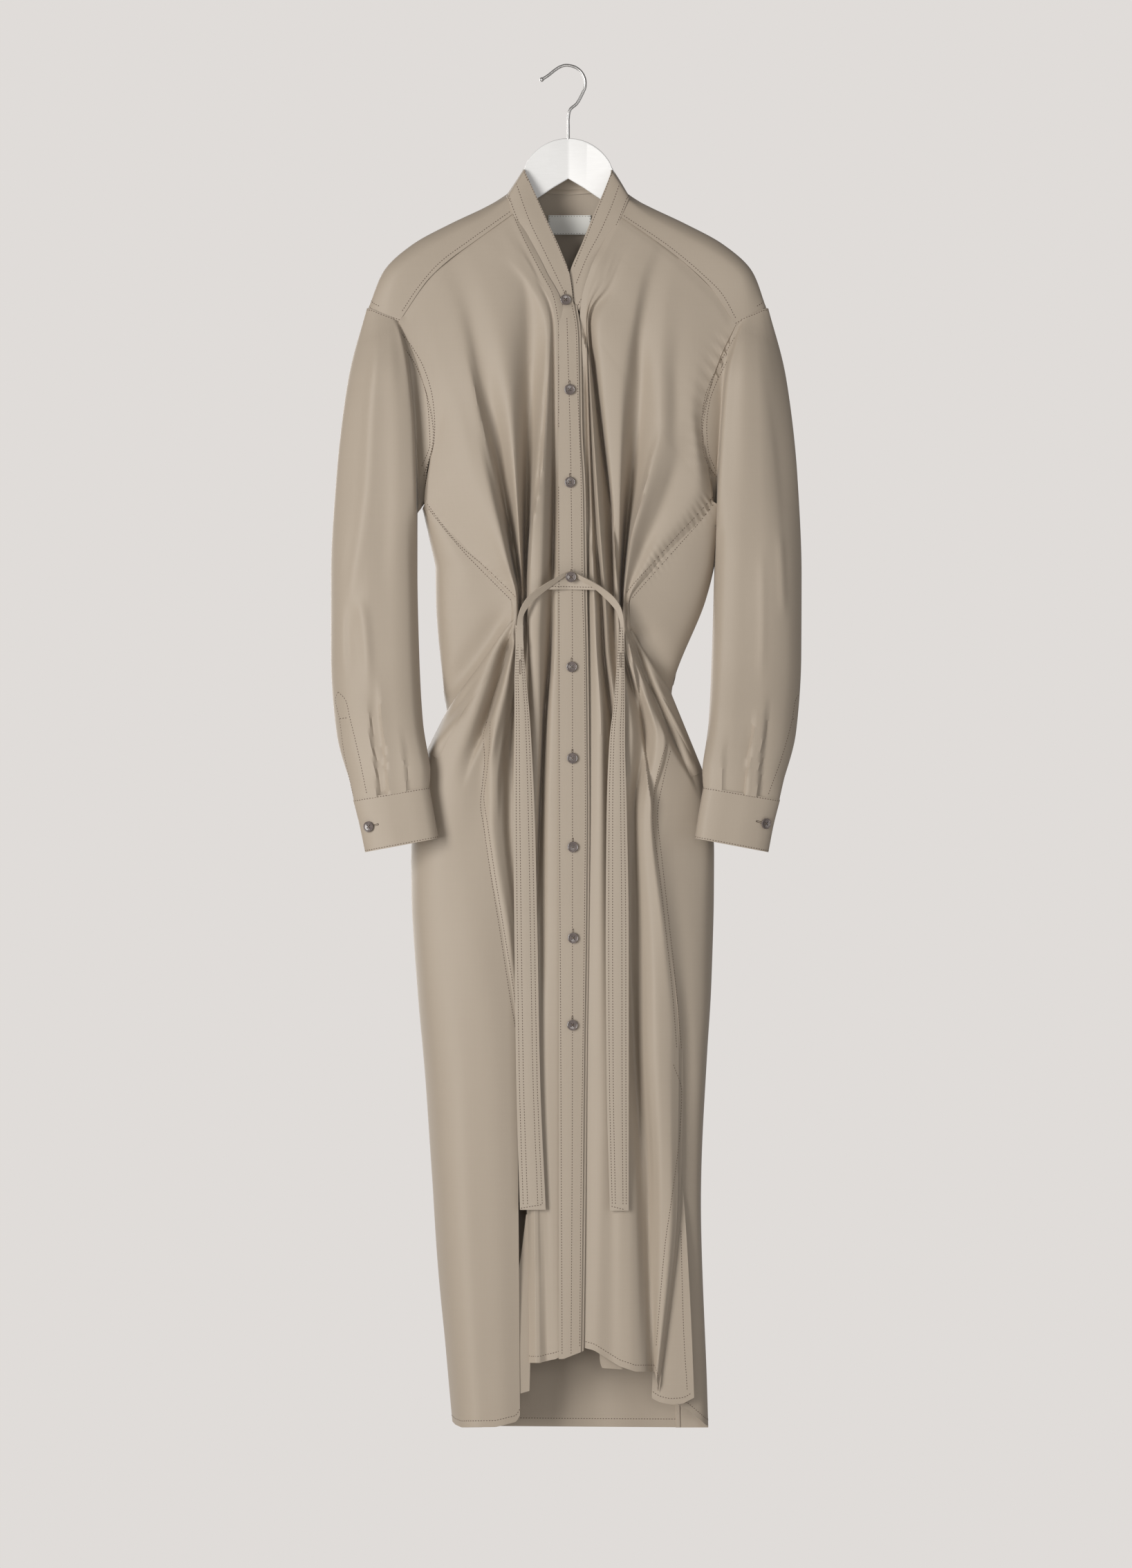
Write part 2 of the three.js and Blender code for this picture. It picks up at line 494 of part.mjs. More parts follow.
// The plackets: how far down, the two edges across, and how far forward, at the heights of the fronts'
// sections.
const PLACKET = [
  { z: -258.5, x: [-9, 8], out: 28 },
  { z: -290, x: [-9, 12], out: 32 },
  { z: -400, x: [-9, 14], out: 34 },
  { z: -455, x: [-9, 17], out: 36 },
  { z: -584, x: [-9, 19], out: 39.5 },
  { z: -632, x: [-9, 20], out: 41.5 },
  { z: -721, x: [-9, 21], out: 43.5 },
  { z: -812, x: [-9, 21.5], out: 45.5 },
  { z: -945, x: [-9, 20.5], out: 47.5 },
  { z: -1045, x: [-9, 19], out: 48 },
  { z: -1243, x: [-9, 17], out: 49.5 },
  { z: -1402, x: [-9, 15], out: 51 },
];
const placketDown = [1, 1, 1, 1, 1, 1, 1, 1, 1, 1, 1];
const placketNodes = (inward, shift) =>
  PLACKET.map(({ z, x: [from, to], out }) => [
    [from + shift, inward - out, z],
    [mix(from, to, 0.5) + shift, inward - out - 0.6, z],
    [to + shift, inward - out, z],
  ]);
const topPlacket = refine(placketNodes(0, 0), [1, 1], placketDown);
const underPlacket = refine(placketNodes(2, 3), [1, 1], placketDown).map((row) =>
  row.map(([x, y, z]) => [x, y, z - (z > -260 ? 12 : 0)]),
);
const placketOutAt = (z) => {
  const i = Math.max(1, PLACKET.findIndex((row) => row.z <= z));
  const [a, b] = [PLACKET[i - 1], PLACKET[i]];
  return mix(a.out, b.out, (z - a.z) / (b.z - a.z)) + 0.6;
};

// The belt: a short bar across the placket, twisted to an edge at each end, and the two tails that hang
// from the tie points. Across, then height, then out.
const BELT_BAR = [
  [[-54, -46, -566], [-50, -48.5, -576], [-46, -47, -586]],
  [[-46, -47, -557], [-42, -49, -566], [-38, -47.5, -574]],
  [[-34, -47, -550], [-31, -48.5, -558], [-29, -47, -566]],
  [[-20, -44.5, -547], [-20, -45.5, -557], [-20, -44.5, -567]],
  [[5, -40.1, -547], [5, -40.4, -557], [5, -40.1, -567]],
  [[28, -43, -547], [28, -44, -557], [28, -43, -567]],
  [[42, -45.5, -550], [40, -47.5, -558], [38, -46, -566]],
  [[54, -46, -558], [51, -48, -566], [47, -46, -574]],
  [[62, -45, -566], [59, -48, -575], [56, -46.5, -584]],
];
const beltBar = refine(BELT_BAR, [1, 1], 2);
const LEFT_TAIL = [
  { z: -577, x: [-52, -44], out: 49.4 },
  { z: -612, x: [-57, -46], out: 49.6 },
  { z: -666, x: [-57, -44], out: 50 },
  { z: -710, x: [-57, -40], out: 50 },
  { z: -812, x: [-58, -35], out: 50 },
  { z: -945, x: [-57, -32], out: 50 },
  { z: -1100, x: [-55, -29], out: 51 },
  { z: -1240, x: [-51, -23], out: 52 },
];
const RIGHT_TAIL = [
  { z: -575, x: [55, 62], out: 49.4 },
  { z: -622, x: [53, 62], out: 50.4 },
  { z: -689, x: [51, 63], out: 51 },
  { z: -732, x: [46, 63], out: 51 },
  { z: -812, x: [43, 65], out: 52 },
  { z: -945, x: [42, 67], out: 53 },
  { z: -1100, x: [43, 67], out: 54 },
  { z: -1241, x: [46.5, 67], out: 55 },
];
const tail = (rows) =>
  refine(
    rows.map(({ z, x: [from, to], out }) => [
      [from, -out, z],
      [mix(from, to, 0.5), -out - 0.8, z],
      [to, -out, z],
    ]),
    [1, 1],
    2,
  );

// The loose turned edge inside the slit on the right.
const VENT = [
  [[113, -34.5, -1205], [119, -34.5, -1204], [125, -33.8, -1203]],
  [[101, -33, -1290], [115, -35.5, -1290], [131, -35.5, -1290]],
  [[94, -31.5, -1390], [114, -34, -1392], [136, -34.5, -1390]],
  [[92, -30.5, -1444], [114, -33.5, -1450], [138, -33.5, -1445]],
];

// The hanger: how high its top and bottom edges are, at each distance across from the middle.
const HANGER_THICK = 12;
const HANGER_MIDDLE = 1.5;
const HANGER_EDGES = [
  [0, -77.5, -121.5], [16, -80, -131], [30, -87.5, -140.5],
  [40, -97, -147], [47, -108, -151.5], [56, -128, -157.5],
  [65, -142.5, -164], [90, -160, -179], [128, -180, -199], [165, -199.5, -217], [182, -211, -225.5],
  [190, -217, -227], [195, -222, -226.5],
];
const hangerSections = [...HANGER_EDGES.slice(1).reverse().map(([x, t, b]) => [-x, t, b]), ...HANGER_EDGES];
const hangerRings = hangerSections.map(([x, top, bottom]) => {
  const half = HANGER_THICK * mix(0.5, 0.33, THREE.MathUtils.smoothstep(Math.abs(x), 30, 70));
  const y = -HANGER_SWEEP * 0.9 * Math.abs(x);
  const round = 2.2;
  return [
    [-half + round, top], [half - round, top], [half, top - round], [half, bottom + round],
    [half - round, bottom], [-half + round, bottom], [-half, bottom + round], [-half, top - round],
  ].map(([dy, z]) => [HANGER_MIDDLE + x, y + dy, z]);
});

// A solid skinned over a row of rings and closed at both ends.
function skin(rings) {
  const count = rings[0].length;
  const positions = rings.flat(2);
  const faces = [];
  for (let r = 0; r < rings.length - 1; r++) {
    for (let c = 0; c < count; c++) {
      const [a, b] = [r * count + c, r * count + ((c + 1) % count)];
      faces.push(a, b, b + count, a, b + count, a + count);
    }
  }
  const end = (rings.length - 1) * count;
  for (let c = 1; c < count - 1; c++) faces.push(0, c + 1, c, end, end + c, end + c + 1);
  return solidOf(positions, faces);
}

// The hook: a round wire with a rolled ball at its tip.
const WIRE = 1.6;
const WIRE_STEPS = 30;
const HOOK_RADIUS = 19.7;
const HOOK_CENTRE = [0.3, -HOOK_RADIUS + WIRE];
const onHook = (degrees) => {
  const angle = THREE.MathUtils.degToRad(degrees);
  return [HOOK_CENTRE[0] + HOOK_RADIUS * Math.cos(angle), HOOK_CENTRE[1] + HOOK_RADIUS * Math.sin(angle)];
};
const HOOK_TIP = [-27.3, -13.8];
const HOOK_TURNS = [132, 110, 90, 65, 40, 15, -10, -32]; // degrees round its circle
const HOOK_FOOT = [[11, -39.5], [3.5, -46.5], [1.5, -56], [1.5, -77]];
const hookPlaces = [HOOK_TIP, [-20.5, -9.5], ...HOOK_TURNS.map(onHook), ...HOOK_FOOT];
const hookLine = new THREE.CatmullRomCurve3(hookPlaces.map(([x, z]) => new THREE.Vector3(x, 0, z)));
const wireRings = hookLine.getPoints(WIRE_STEPS).map((p, i) => {
  const along = hookLine.getTangent(i / WIRE_STEPS);
  return Array.from({ length: 8 }, (_, k) => {
    const [side, depth] = [Math.cos((k * Math.PI) / 4) * WIRE, Math.sin((k * Math.PI) / 4) * WIRE];
    return [p.x - along.z * side, depth, p.z + along.x * side];
  });
});

const BUTTONS = [
  [-1.5, -252.8], [3, -350], [3.4, -450.8], [4.5, -554], [5.3, -651],
  [6, -750], [6.5, -846.5], [6.8, -945], [6, -1039.5],
];
const BELT_BUTTON = 3;
const CUFF_TURN = THREE.MathUtils.degToRad(22);

// A button: a dished disc. Its back is at y 0 and it faces forward.
const BUTTON_PROFILE = [
  [0, 0], [5.2, 0], [BUTTON_RADIUS, 0.9], [BUTTON_RADIUS, 1.9], [5, 2.6], [4.2, 2.1], [0, 1.8],
];
function button([x, z], out, turn = 0) {
  const disc = new THREE.LatheGeometry(BUTTON_PROFILE.map(([r, h]) => new THREE.Vector2(r, h)), 14);
  disc.rotateX(Math.PI);
  disc.rotateZ(turn);
  disc.translate(x, -out, z);
  return disc;
}
keep("hanger", skin(hangerRings), whitePaint);
const ball = solidFrom(new THREE.SphereGeometry(2.4, 10, 6).translate(HOOK_TIP[0], 0, HOOK_TIP[1]));
keep("hook", skin(wireRings).add(ball), chrome);
keep("label", solidFrom(new THREE.BoxGeometry(46, 0.5, 21).translate(3, 21.2, -173.5)), satin);

BUTTONS.forEach(([x, z], i) => {
  const out = i === 0 ? 28.8 : i === BELT_BUTTON ? 41.1 : placketOutAt(z) + 0.5;
  keep(`button_${i + 1}`, solidFrom(button([x, z], out)), horn);
});
keep("cuff_button_left", solidFrom(button([-214.5, -824], 60.3, -CUFF_TURN)), horn);
keep("cuff_button_right", solidFrom(button([215.3, -821], 59.7, CUFF_TURN)), horn);

sew("belt_bar", beltBar, { side: 1 });
sew("belt_tail_left", tail(LEFT_TAIL), { side: 1 });
sew("belt_tail_right", tail(RIGHT_TAIL), { side: 1 });
sew("placket_top", topPlacket, { side: 1 });
sew("placket_under", underPlacket, { side: 1 });
sew("neck_band", band, { side: 1 });
sew("front_left", leftFront, { side: 1 });
sew("front_right", rightFront, { side: 1 });
sew("yoke", yoke, { side: 1 });
sew("side_left", leftSide, { side: -1, gap: LOOSE_GAP });
sew("side_right", rightSide, { side: 1, gap: LOOSE_GAP });
sew("back", back, { side: -1, gap: LOOSE_GAP });
sew("cuff_left", leftCuff, { side: -1, closed: true });
sew("cuff_right", rightCuff, { side: 1, closed: true });
sew("sleeve_left", leftSleeve, { side: -1, closed: true, gap: LOOSE_GAP });
sew("sleeve_right", rightSleeve, { side: 1, closed: true, gap: LOOSE_GAP });
sew("vent_flap_right", refine(VENT, 1, 1), { side: 1 });
cutBack();

export default dress;
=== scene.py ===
"""A long cotton shirt dress on a white hanger: band collar, placket, pleated cuffs, tie belt, slit hem.

Shapes are worked out in millimetres in the part's own frame (x right, y away, z up, 0 under the hook's top)
and written to the meshes in metres. Pieces of cloth start as nets: a row for each height, a column for each
fold line, and each point as x, how far forward it stands, and z.
"""
import math

import bmesh
import bpy
import numpy as np
from mathutils import Matrix, Vector
from mathutils.bvhtree import BVHTree
from mathutils.geometry import delaunay_2d_cdt


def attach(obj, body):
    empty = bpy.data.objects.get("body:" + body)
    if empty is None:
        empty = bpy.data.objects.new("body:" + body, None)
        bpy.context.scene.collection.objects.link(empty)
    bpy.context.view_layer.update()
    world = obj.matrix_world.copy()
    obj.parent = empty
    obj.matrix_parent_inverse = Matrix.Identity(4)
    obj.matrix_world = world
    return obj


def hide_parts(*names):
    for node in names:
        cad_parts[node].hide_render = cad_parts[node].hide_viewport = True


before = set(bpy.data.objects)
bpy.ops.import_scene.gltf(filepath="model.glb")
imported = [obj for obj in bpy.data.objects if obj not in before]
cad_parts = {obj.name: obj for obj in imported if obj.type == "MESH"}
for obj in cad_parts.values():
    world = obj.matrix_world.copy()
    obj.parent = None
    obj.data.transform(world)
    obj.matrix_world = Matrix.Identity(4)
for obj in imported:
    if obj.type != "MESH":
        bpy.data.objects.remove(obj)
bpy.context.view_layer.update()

MM = 0.001
CAMERA_AWAY = 4725.0  # mm from the hanger's plane
AIM = (-1.0, -778.0)  # the point that the camera faces, x and z
LENS = 100.0  # mm, on a sensor 36 mm wide
SENSOR = 36.0
PIXEL = 0.75  # mm in one pixel of the photograph, at the hanger's plane
PHOTO_ZERO = (820.0, 97.0)  # the pixel of the frame's origin

CLOTH = 0.7  # thickness of one layer
DOUBLED = 1.4  # of the cuffs and the neck band
PLACKET_THICK = 1.3
UNDER_PLACKET_THICK = 1.2
BELT_THICK = 1.3
BELT_BAR_THICK = 1.1
LABEL_THICK = 0.5
HANGER_SWEEP = 0.1  # how far the shoulders come forward for each mm across
SWEEP_FROM = 30.0  # the hanger's middle stays where it is
SWEEP_TOP = -300.0
SWEEP_END = -720.0

ROOM_COLOUR = (0.745, 0.716, 0.694, 1)
ROOM_GLOW = 0.27  # how much of the pale room's light reaches the cloth
FLOOR_COLOUR = (0.74, 0.71, 0.69, 1)
FLOOR_RADIUS = 1.1  # metres, as are the floor's height and the lamps' places
FLOOR_HEIGHT = -2.05
DAYLIGHT = (1.0, 0.985, 0.965)
# Each lamp: its place, where it points, its width and height, its watts and its tint.
LAMPS = {
    "window": ((-2.2, -2.75, -0.4), (0, 0, -0.8), (1.3, 2.4), 103, DAYLIGHT),
    "floor_bounce": ((0.2, -1.7, -2.8), (0, 0, -1.4), (1.6, 1.0), 12, (1.0, 0.97, 0.93)),
    "ahead": ((0.3, -4.0, -0.4), (0, 0, -0.7), (1.0, 1.0), 14, DAYLIGHT),
    "behind": ((-1.7, 2.7, -0.2), (0, 0, -0.8), (1.8, 2.2), 62, DAYLIGHT),
    "fill": ((2.6, -2.4, -0.8), (0, 0, -0.9), (1.8, 2.2), 14, (0.97, 0.985, 1.0)),
}


# Camera, light and floor

def aim_camera():
    data = bpy.data.cameras.new("photo_camera")
    data.lens = LENS
    data.sensor_width = SENSOR
    camera = bpy.data.objects.new("photo_camera", data)
    camera.location = (AIM[0] * MM, -CAMERA_AWAY * MM, AIM[1] * MM)
    camera.rotation_euler = (math.pi / 2, 0, 0)
    bpy.context.scene.collection.objects.link(camera)
    bpy.context.scene.camera = camera


def hang_light(name, place, target, size, power, tint):
    data = bpy.data.lights.new(name, "AREA")
    data.shape = "RECTANGLE"
    data.size, data.size_y = size
    data.energy = power
    data.color = tint
    lamp = bpy.data.objects.new(name, data)
    lamp.location = place
    lamp.rotation_euler = (Vector(target) - Vector(place)).to_track_quat("-Z", "Y").to_euler()
    lamp.visible_camera = False
    bpy.context.scene.collection.objects.link(lamp)


def light_the_room():
    for name, setting in LAMPS.items():
        hang_light(name, *setting)
    world = bpy.data.worlds.new("pale_room")
    world.use_nodes = True
    w = Wiring(world.node_tree)
    backdrop = world.node_tree.nodes["Background"]
    backdrop.inputs["Color"].default_value = ROOM_COLOUR
    shown = w.node("ShaderNodeLightPath").outputs["Is Camera Ray"]
    strength = w.math("ADD", w.math("MULTIPLY", shown, 1 - ROOM_GLOW), ROOM_GLOW)
    w.put(strength, backdrop.inputs["Strength"])
    bpy.context.scene.world = world
    bpy.context.scene.view_settings.view_transform = "Standard"


def lay_floor():
    bpy.ops.mesh.primitive_circle_add(
        vertices=96, radius=FLOOR_RADIUS, fill_type="NGON", location=(0, 0, FLOOR_HEIGHT)
    )
    floor = bpy.context.object
    floor.name = "pale_floor"
    finish = bpy.data.materials.new("floor_paint")
    finish.use_nodes = True
    shader = finish.node_tree.nodes["Principled BSDF"]
    shader.inputs["Base Color"].default_value = FLOOR_COLOUR
    shader.inputs["Roughness"].default_value = 0.8
    floor.data.materials.append(finish)


# Materials

def new_group(name, inputs, outputs):
    """A shader node group of plain numbers. inputs gives each of its sockets a starting value."""
    group = bpy.data.node_groups.new(name, "ShaderNodeTree")
    for label, value in inputs.items():
        socket = group.interface.new_socket(name=label, in_out="INPUT", socket_type="NodeSocketFloat")
        socket.default_value = value
    for label in outputs:
        group.interface.new_socket(name=label, in_out="OUTPUT", socket_type="NodeSocketFloat")
    return group, group.nodes.new("NodeGroupInput"), group.nodes.new("NodeGroupOutput")


class Wiring:
    """Short words for making and linking nodes in one tree."""

    def __init__(self, tree):
        self.tree = tree

    def node(self, kind, **settings):
        made = self.tree.nodes.new(kind)
        for key, value in settings.items():
            setattr(made, key, value)
        return made

    def put(self, value, socket):
        if isinstance(value, bpy.types.NodeSocket):
            self.tree.links.new(value, socket)
        else:
            socket.default_value = value

    def math(self, operation, first, second=0.0):
        made = self.node("ShaderNodeMath", operation=operation)
        self.put(first, made.inputs[0])
        self.put(second, made.inputs[1])
        return made.outputs[0]

    def blend(self, share, first, second):
        made = self.node("ShaderNodeMix", data_type="RGBA", blend_type="MIX")
        self.put(share, made.inputs[0])
        self.put(first, made.inputs[6])
        self.put(second, made.inputs[7])
        return made.outputs[2]

    def noise(self, vector, scale, detail, roughness=0.5):
        made = self.node("ShaderNodeTexNoise")
        self.put(vector, made.inputs["Vector"])
        self.put(scale, made.inputs["Scale"])
        self.put(detail, made.inputs["Detail"])
        self.put(roughness, made.inputs["Roughness"])
        return made.outputs["Fac"]

    def stretch(self, vector, scale):
        made = self.node("ShaderNodeMapping")
        self.put(vector, made.inputs["Vector"])
        made.inputs["Scale"].default_value = scale
        return made.outputs["Vector"]


aim_camera()
light_the_room()
lay_floor()


def weave_group():
    """A fine plain weave: over-and-under threads, slubs along both threads, and a slow change of tone."""
    group, given, result = new_group(
        "plain_weave", {"Threads per metre": 2600.0, "Slub": 0.5, "Tone change": 0.5}, ("Height", "Tone")
    )
    w = Wiring(group)
    place = w.node("ShaderNodeTexCoord").outputs["Object"]
    parts = w.node("ShaderNodeSeparateXYZ")
    w.put(place, parts.inputs[0])
    turn = w.math("MULTIPLY", given.outputs["Threads per metre"], math.pi)
    across = w.math("SINE", w.math("MULTIPLY", w.math("ADD", parts.outputs[0], parts.outputs[1]), turn))
    down = w.math("SINE", w.math("MULTIPLY", parts.outputs[2], turn))
    threads = w.math("MULTIPLY", across, down)
    warp = w.noise(w.stretch(place, (900, 900, 22)), 1.0, 2.0)
    weft = w.noise(w.stretch(place, (22, 22, 900)), 1.0, 2.0)
    slub = w.math("MULTIPLY", w.math("SUBTRACT", w.math("ADD", warp, weft), 1.0), given.outputs["Slub"])
    w.put(w.math("ADD", w.math("MULTIPLY", threads, 0.25), slub), result.inputs["Height"])
    slow = w.math("SUBTRACT", w.noise(place, 7.0, 4.0), 0.5)
    clouds = w.math("MULTIPLY", slow, given.outputs["Tone change"])
    tone = w.math("ADD", clouds, w.math("MULTIPLY", slub, 0.6))
    w.put(w.math("ADD", tone, 0.5), result.inputs["Tone"])
    return group


def start_material(name):
    made = bpy.data.materials.new(name)
    made.use_nodes = True
    return made, Wiring(made.node_tree), made.node_tree.nodes["Principled BSDF"]


def cloth_material(name, light, dark, rough, sheen):
    made, w, shader = start_material(name)
    woven = w.node("ShaderNodeGroup", node_tree=WEAVE).outputs
    w.put(w.blend(woven["Tone"], dark, light), shader.inputs["Base Color"])
    shader.inputs["Roughness"].default_value = rough
    shader.inputs["Sheen Weight"].default_value = sheen
    shader.inputs["Sheen Roughness"].default_value = 0.35
    shader.inputs["Specular IOR Level"].default_value = 0.38
    relief = w.node("ShaderNodeBump")
    relief.inputs["Strength"].default_value = CLOTH_BUMP
    relief.inputs["Distance"].default_value = 0.0004
    w.put(woven["Height"], relief.inputs["Height"])
    w.put(relief.outputs[0], shader.inputs["Normal"])
    return made


WEAVE = weave_group()
CLOTH_BUMP = 0.05
COTTON = cloth_material(
    "taupe_cotton", light=(0.415, 0.352, 0.282, 1), dark=(0.375, 0.315, 0.25, 1), rough=0.56, sheen=0.18
)
COTTON_BELT = cloth_material(
    "belt_cotton", light=(0.43, 0.368, 0.298, 1), dark=(0.39, 0.33, 0.264, 1), rough=0.6, sheen=0.16
)
SATIN = cloth_material(
    "label_satin", light=(0.9, 0.9, 0.86, 1), dark=(0.83, 0.83, 0.79, 1), rough=0.42, sheen=0.1
)


def thread_material(name, dark, light):
    made, w, shader = start_material(name)
    place = w.node("ShaderNodeTexCoord").outputs["Object"]
    twist = w.noise(place, 900.0, 1.0)
    w.put(w.blend(twist, dark, light), shader.inputs["Base Color"])
    shader.inputs["Roughness"].default_value = 0.6
    return made


def horn_material():
    """Smoky horn: grey-brown clouds and streaks under a polish."""
    made, w, shader = start_material("smoky_horn")
    place = w.node("ShaderNodeTexCoord").outputs["Object"]
    clouds = w.noise(place, 260.0, 5.0, 0.6)
    streaks = w.noise(w.stretch(place, (700, 90, 180)), 1.0, 3.0)
    tone = w.math("ADD", w.math("MULTIPLY", clouds, 0.65), w.math("MULTIPLY", streaks, 0.4))
    w.put(w.blend(tone, (0.02, 0.015, 0.013, 1), (0.26, 0.215, 0.2, 1)), shader.inputs["Base Color"])
    shader.inputs["Roughness"].default_value = 0.22
    shader.inputs["Coat Weight"].default_value = 0.35
    shader.inputs["Coat Roughness"].default_value = 0.08
    return made


def paint_material():
    made, w, shader = start_material("white_paint")
    place = w.node("ShaderNodeTexCoord").outputs["Object"]
    grain = w.noise(w.stretch(place, (40, 400, 600)), 1.0, 3.0)
    w.put(w.blend(grain, (0.86, 0.86, 0.85, 1), (0.93, 0.93, 0.925, 1)), shader.inputs["Base Color"])
    shader.inputs["Roughness"].default_value = 0.38
    relief = w.node("ShaderNodeBump")
    relief.inputs["Strength"].default_value = 0.04
    relief.inputs["Distance"].default_value = 0.0005
    w.put(grain, relief.inputs["Height"])
    w.put(relief.outputs[0], shader.inputs["Normal"])
    return made


def steel_material():
    made, w, shader = start_material("polished_steel")
    place = w.node("ShaderNodeTexCoord").outputs["Object"]
    wear = w.noise(place, 300.0, 4.0)
    w.put(w.blend(wear, (0.50, 0.49, 0.48, 1), (0.66, 0.65, 0.64, 1)), shader.inputs["Base Color"])
    shader.inputs["Metallic"].default_value = 1.0
    w.put(w.math("ADD", w.math("MULTIPLY", wear, 0.1), 0.3), shader.inputs["Roughness"])
    return made


THREAD = thread_material("brown_thread", (0.075, 0.05, 0.035, 1), (0.15, 0.11, 0.08, 1))
PALE_THREAD = thread_material("pale_thread", (0.42, 0.41, 0.38, 1), (0.58, 0.57, 0.53, 1))
HORN = horn_material()
PAINT = paint_material()
STEEL = steel_material()


# Nets, sheets and meshes

def slopes(values):
    """Slopes of a monotone cubic through rows of values: flat at crests and troughs, never overshooting."""
    steps = np.diff(values, axis=0)
    result = np.empty_like(values)
    result[0], result[-1] = steps[0], steps[-1]
    before, after = steps[:-1], steps[1:]
    rising = before * after > 0
    result[1:-1] = np.where(rising, 2 * before * after / np.where(rising, before + after, 1), 0)
    return result


def smooth_rows(values, spacing):
    """The monotone cubic through rows of points, with about one row in each spacing."""
    tangent = slopes(values)
    lengths = np.linalg.norm(np.diff(values, axis=0), axis=-1)
    while lengths.ndim > 1:
        lengths = lengths.mean(axis=-1)
    made = []
    for i, length in enumerate(lengths):
        count = max(1, round(length / spacing))
        for t in np.arange(count) / count:
            made.append(
                (2 * t**3 - 3 * t**2 + 1) * values[i] + (t**3 - 2 * t**2 + t) * tangent[i]
                + (-2 * t**3 + 3 * t**2) * values[i + 1] + (t**3 - t**2) * tangent[i + 1]
            )
    made.append(values[-1])
    return np.array(made)


def refine(net, across, down):
    """A sheet of points from a net: spacing in mm along the rows and down the columns."""
    wide = smooth_rows(np.swapaxes(np.array(net, float), 0, 1), across)
    return smooth_rows(np.swapaxes(wide, 0, 1), down)


def swept(points):
    """The shoulders follow the hanger's arms, which sweep forward, and the cloth below hangs straight."""
    x, z = points[..., 0], points[..., 2]
    t = np.clip((z - SWEEP_END) / (SWEEP_TOP - SWEEP_END), 0, 1)
    moved = points.copy()
    moved[..., 1] -= HANGER_SWEEP * (np.hypot(x, SWEEP_FROM) - SWEEP_FROM) * t * t * (3 - 2 * t)
    return moved


def seen(points):
    """Outlines are read at the hanger's plane, so what stands nearer to the camera is drawn in to match."""
    share = 1 + points[..., 1:2] / CAMERA_AWAY
    centre = np.array([AIM[0], 0, AIM[1]])
    drawn = centre + (points - centre) * share
    drawn[..., 1] = points[..., 1]
    return drawn


def sheet_normals(sheet, closed):
    if closed:
        wide = np.concatenate([sheet[:, -1:], sheet, sheet[:, :1]], axis=1)
        across = wide[:, 2:] - wide[:, :-2]
    else:
        across = np.gradient(sheet, axis=1)
    down = np.gradient(sheet, axis=0)
    normals = np.cross(across, down)
    length = np.linalg.norm(normals, axis=-1, keepdims=True)
    return normals / np.maximum(length, 1e-9)


def mesh_piece(name, points, faces, material, nodes=(), slot="cloth", flat=False, sharp=40):
    """An object from points in mm. It rides on the part and stands for the named nodes."""
    data = bpy.data.meshes.new(name)
    data.from_pydata((np.asarray(points) * MM).tolist(), [], faces)
    shape = bmesh.new()
    shape.from_mesh(data)
    bmesh.ops.remove_doubles(shape, verts=shape.verts, dist=1e-6)
    bmesh.ops.recalc_face_normals(shape, faces=shape.faces)
    shape.to_mesh(data)
    shape.free()
    if not flat:
        data.shade_smooth()
        data.set_sharp_from_angle(angle=math.radians(sharp))
    data.materials.append(material)
    piece = bpy.data.objects.new(name, data)
    bpy.context.scene.collection.objects.link(piece)
    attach(piece, "root")
    if nodes:
        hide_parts(*nodes)
    return piece


def grid_faces(rows, columns, closed=False, start=0, flip=False):
    spans = columns if closed else columns - 1
    faces = []
    for r in range(rows - 1):
        for c in range(spans):
            a, b = start + r * columns + c, start + r * columns + (c + 1) % columns
            quad = (a, a + columns, b + columns, b)
            faces.append(quad[::-1] if flip else quad)
    return faces


def two_layers(sheet, thick, side, closed=False):
    """Points and faces of cloth with both its faces and its rims."""
    rows, columns = sheet.shape[:2]
    inner = sheet + sheet_normals(sheet, closed) * thick * side
    points = np.concatenate([sheet.reshape(-1, 3), inner.reshape(-1, 3)])
    n = rows * columns
    faces = grid_faces(rows, columns, closed) + grid_faces(rows, columns, closed, n, True)
    spans = columns if closed else columns - 1
    for c in range(spans):
        a, b = c, (c + 1) % columns
        faces.append((a, b, n + b, n + a))
        a, b = a + n - columns, b + n - columns
        faces.append((b, a, n + a, n + b))
    if not closed:
        for r in range(rows - 1):
            a, b = r * columns, (r + 1) * columns
            faces.append((a, n + a, n + b, b))
            a, b = a + columns - 1, b + columns - 1
            faces.append((a, b, n + b, n + a))
    return points, faces


skins = {}  # the outer face of each piece of cloth, for what is laid on it
cut = {}  # each piece of cloth with its sheets in mm, to work out how large it was cut


def skin_of(placed, closed=False):
    """The outer face of cloth that is in its place, for sight lines."""
    return BVHTree.FromPolygons(placed.reshape(-1, 3).tolist(), grid_faces(*placed.shape[:2], closed))


def make_cloth(name, sheet, nodes=(), side=1, closed=False, thick=CLOTH, material=COTTON):
    """One piece of cloth. Its sheet is the outer face, and side says which way the thickness goes."""
    placed = seen(swept(sheet))
    skins[name] = skin_of(placed, closed)
    points, faces = two_layers(placed, thick, side, closed)
    cut[name] = (mesh_piece(name, points, faces, material, nodes or (name,)), [placed], closed)


def photo_point(px, py):
    """A pixel at the hanger's plane, as x and z in mm."""
    return ((px - PHOTO_ZERO[0]) * PIXEL, (PHOTO_ZERO[1] - py) * PIXEL)


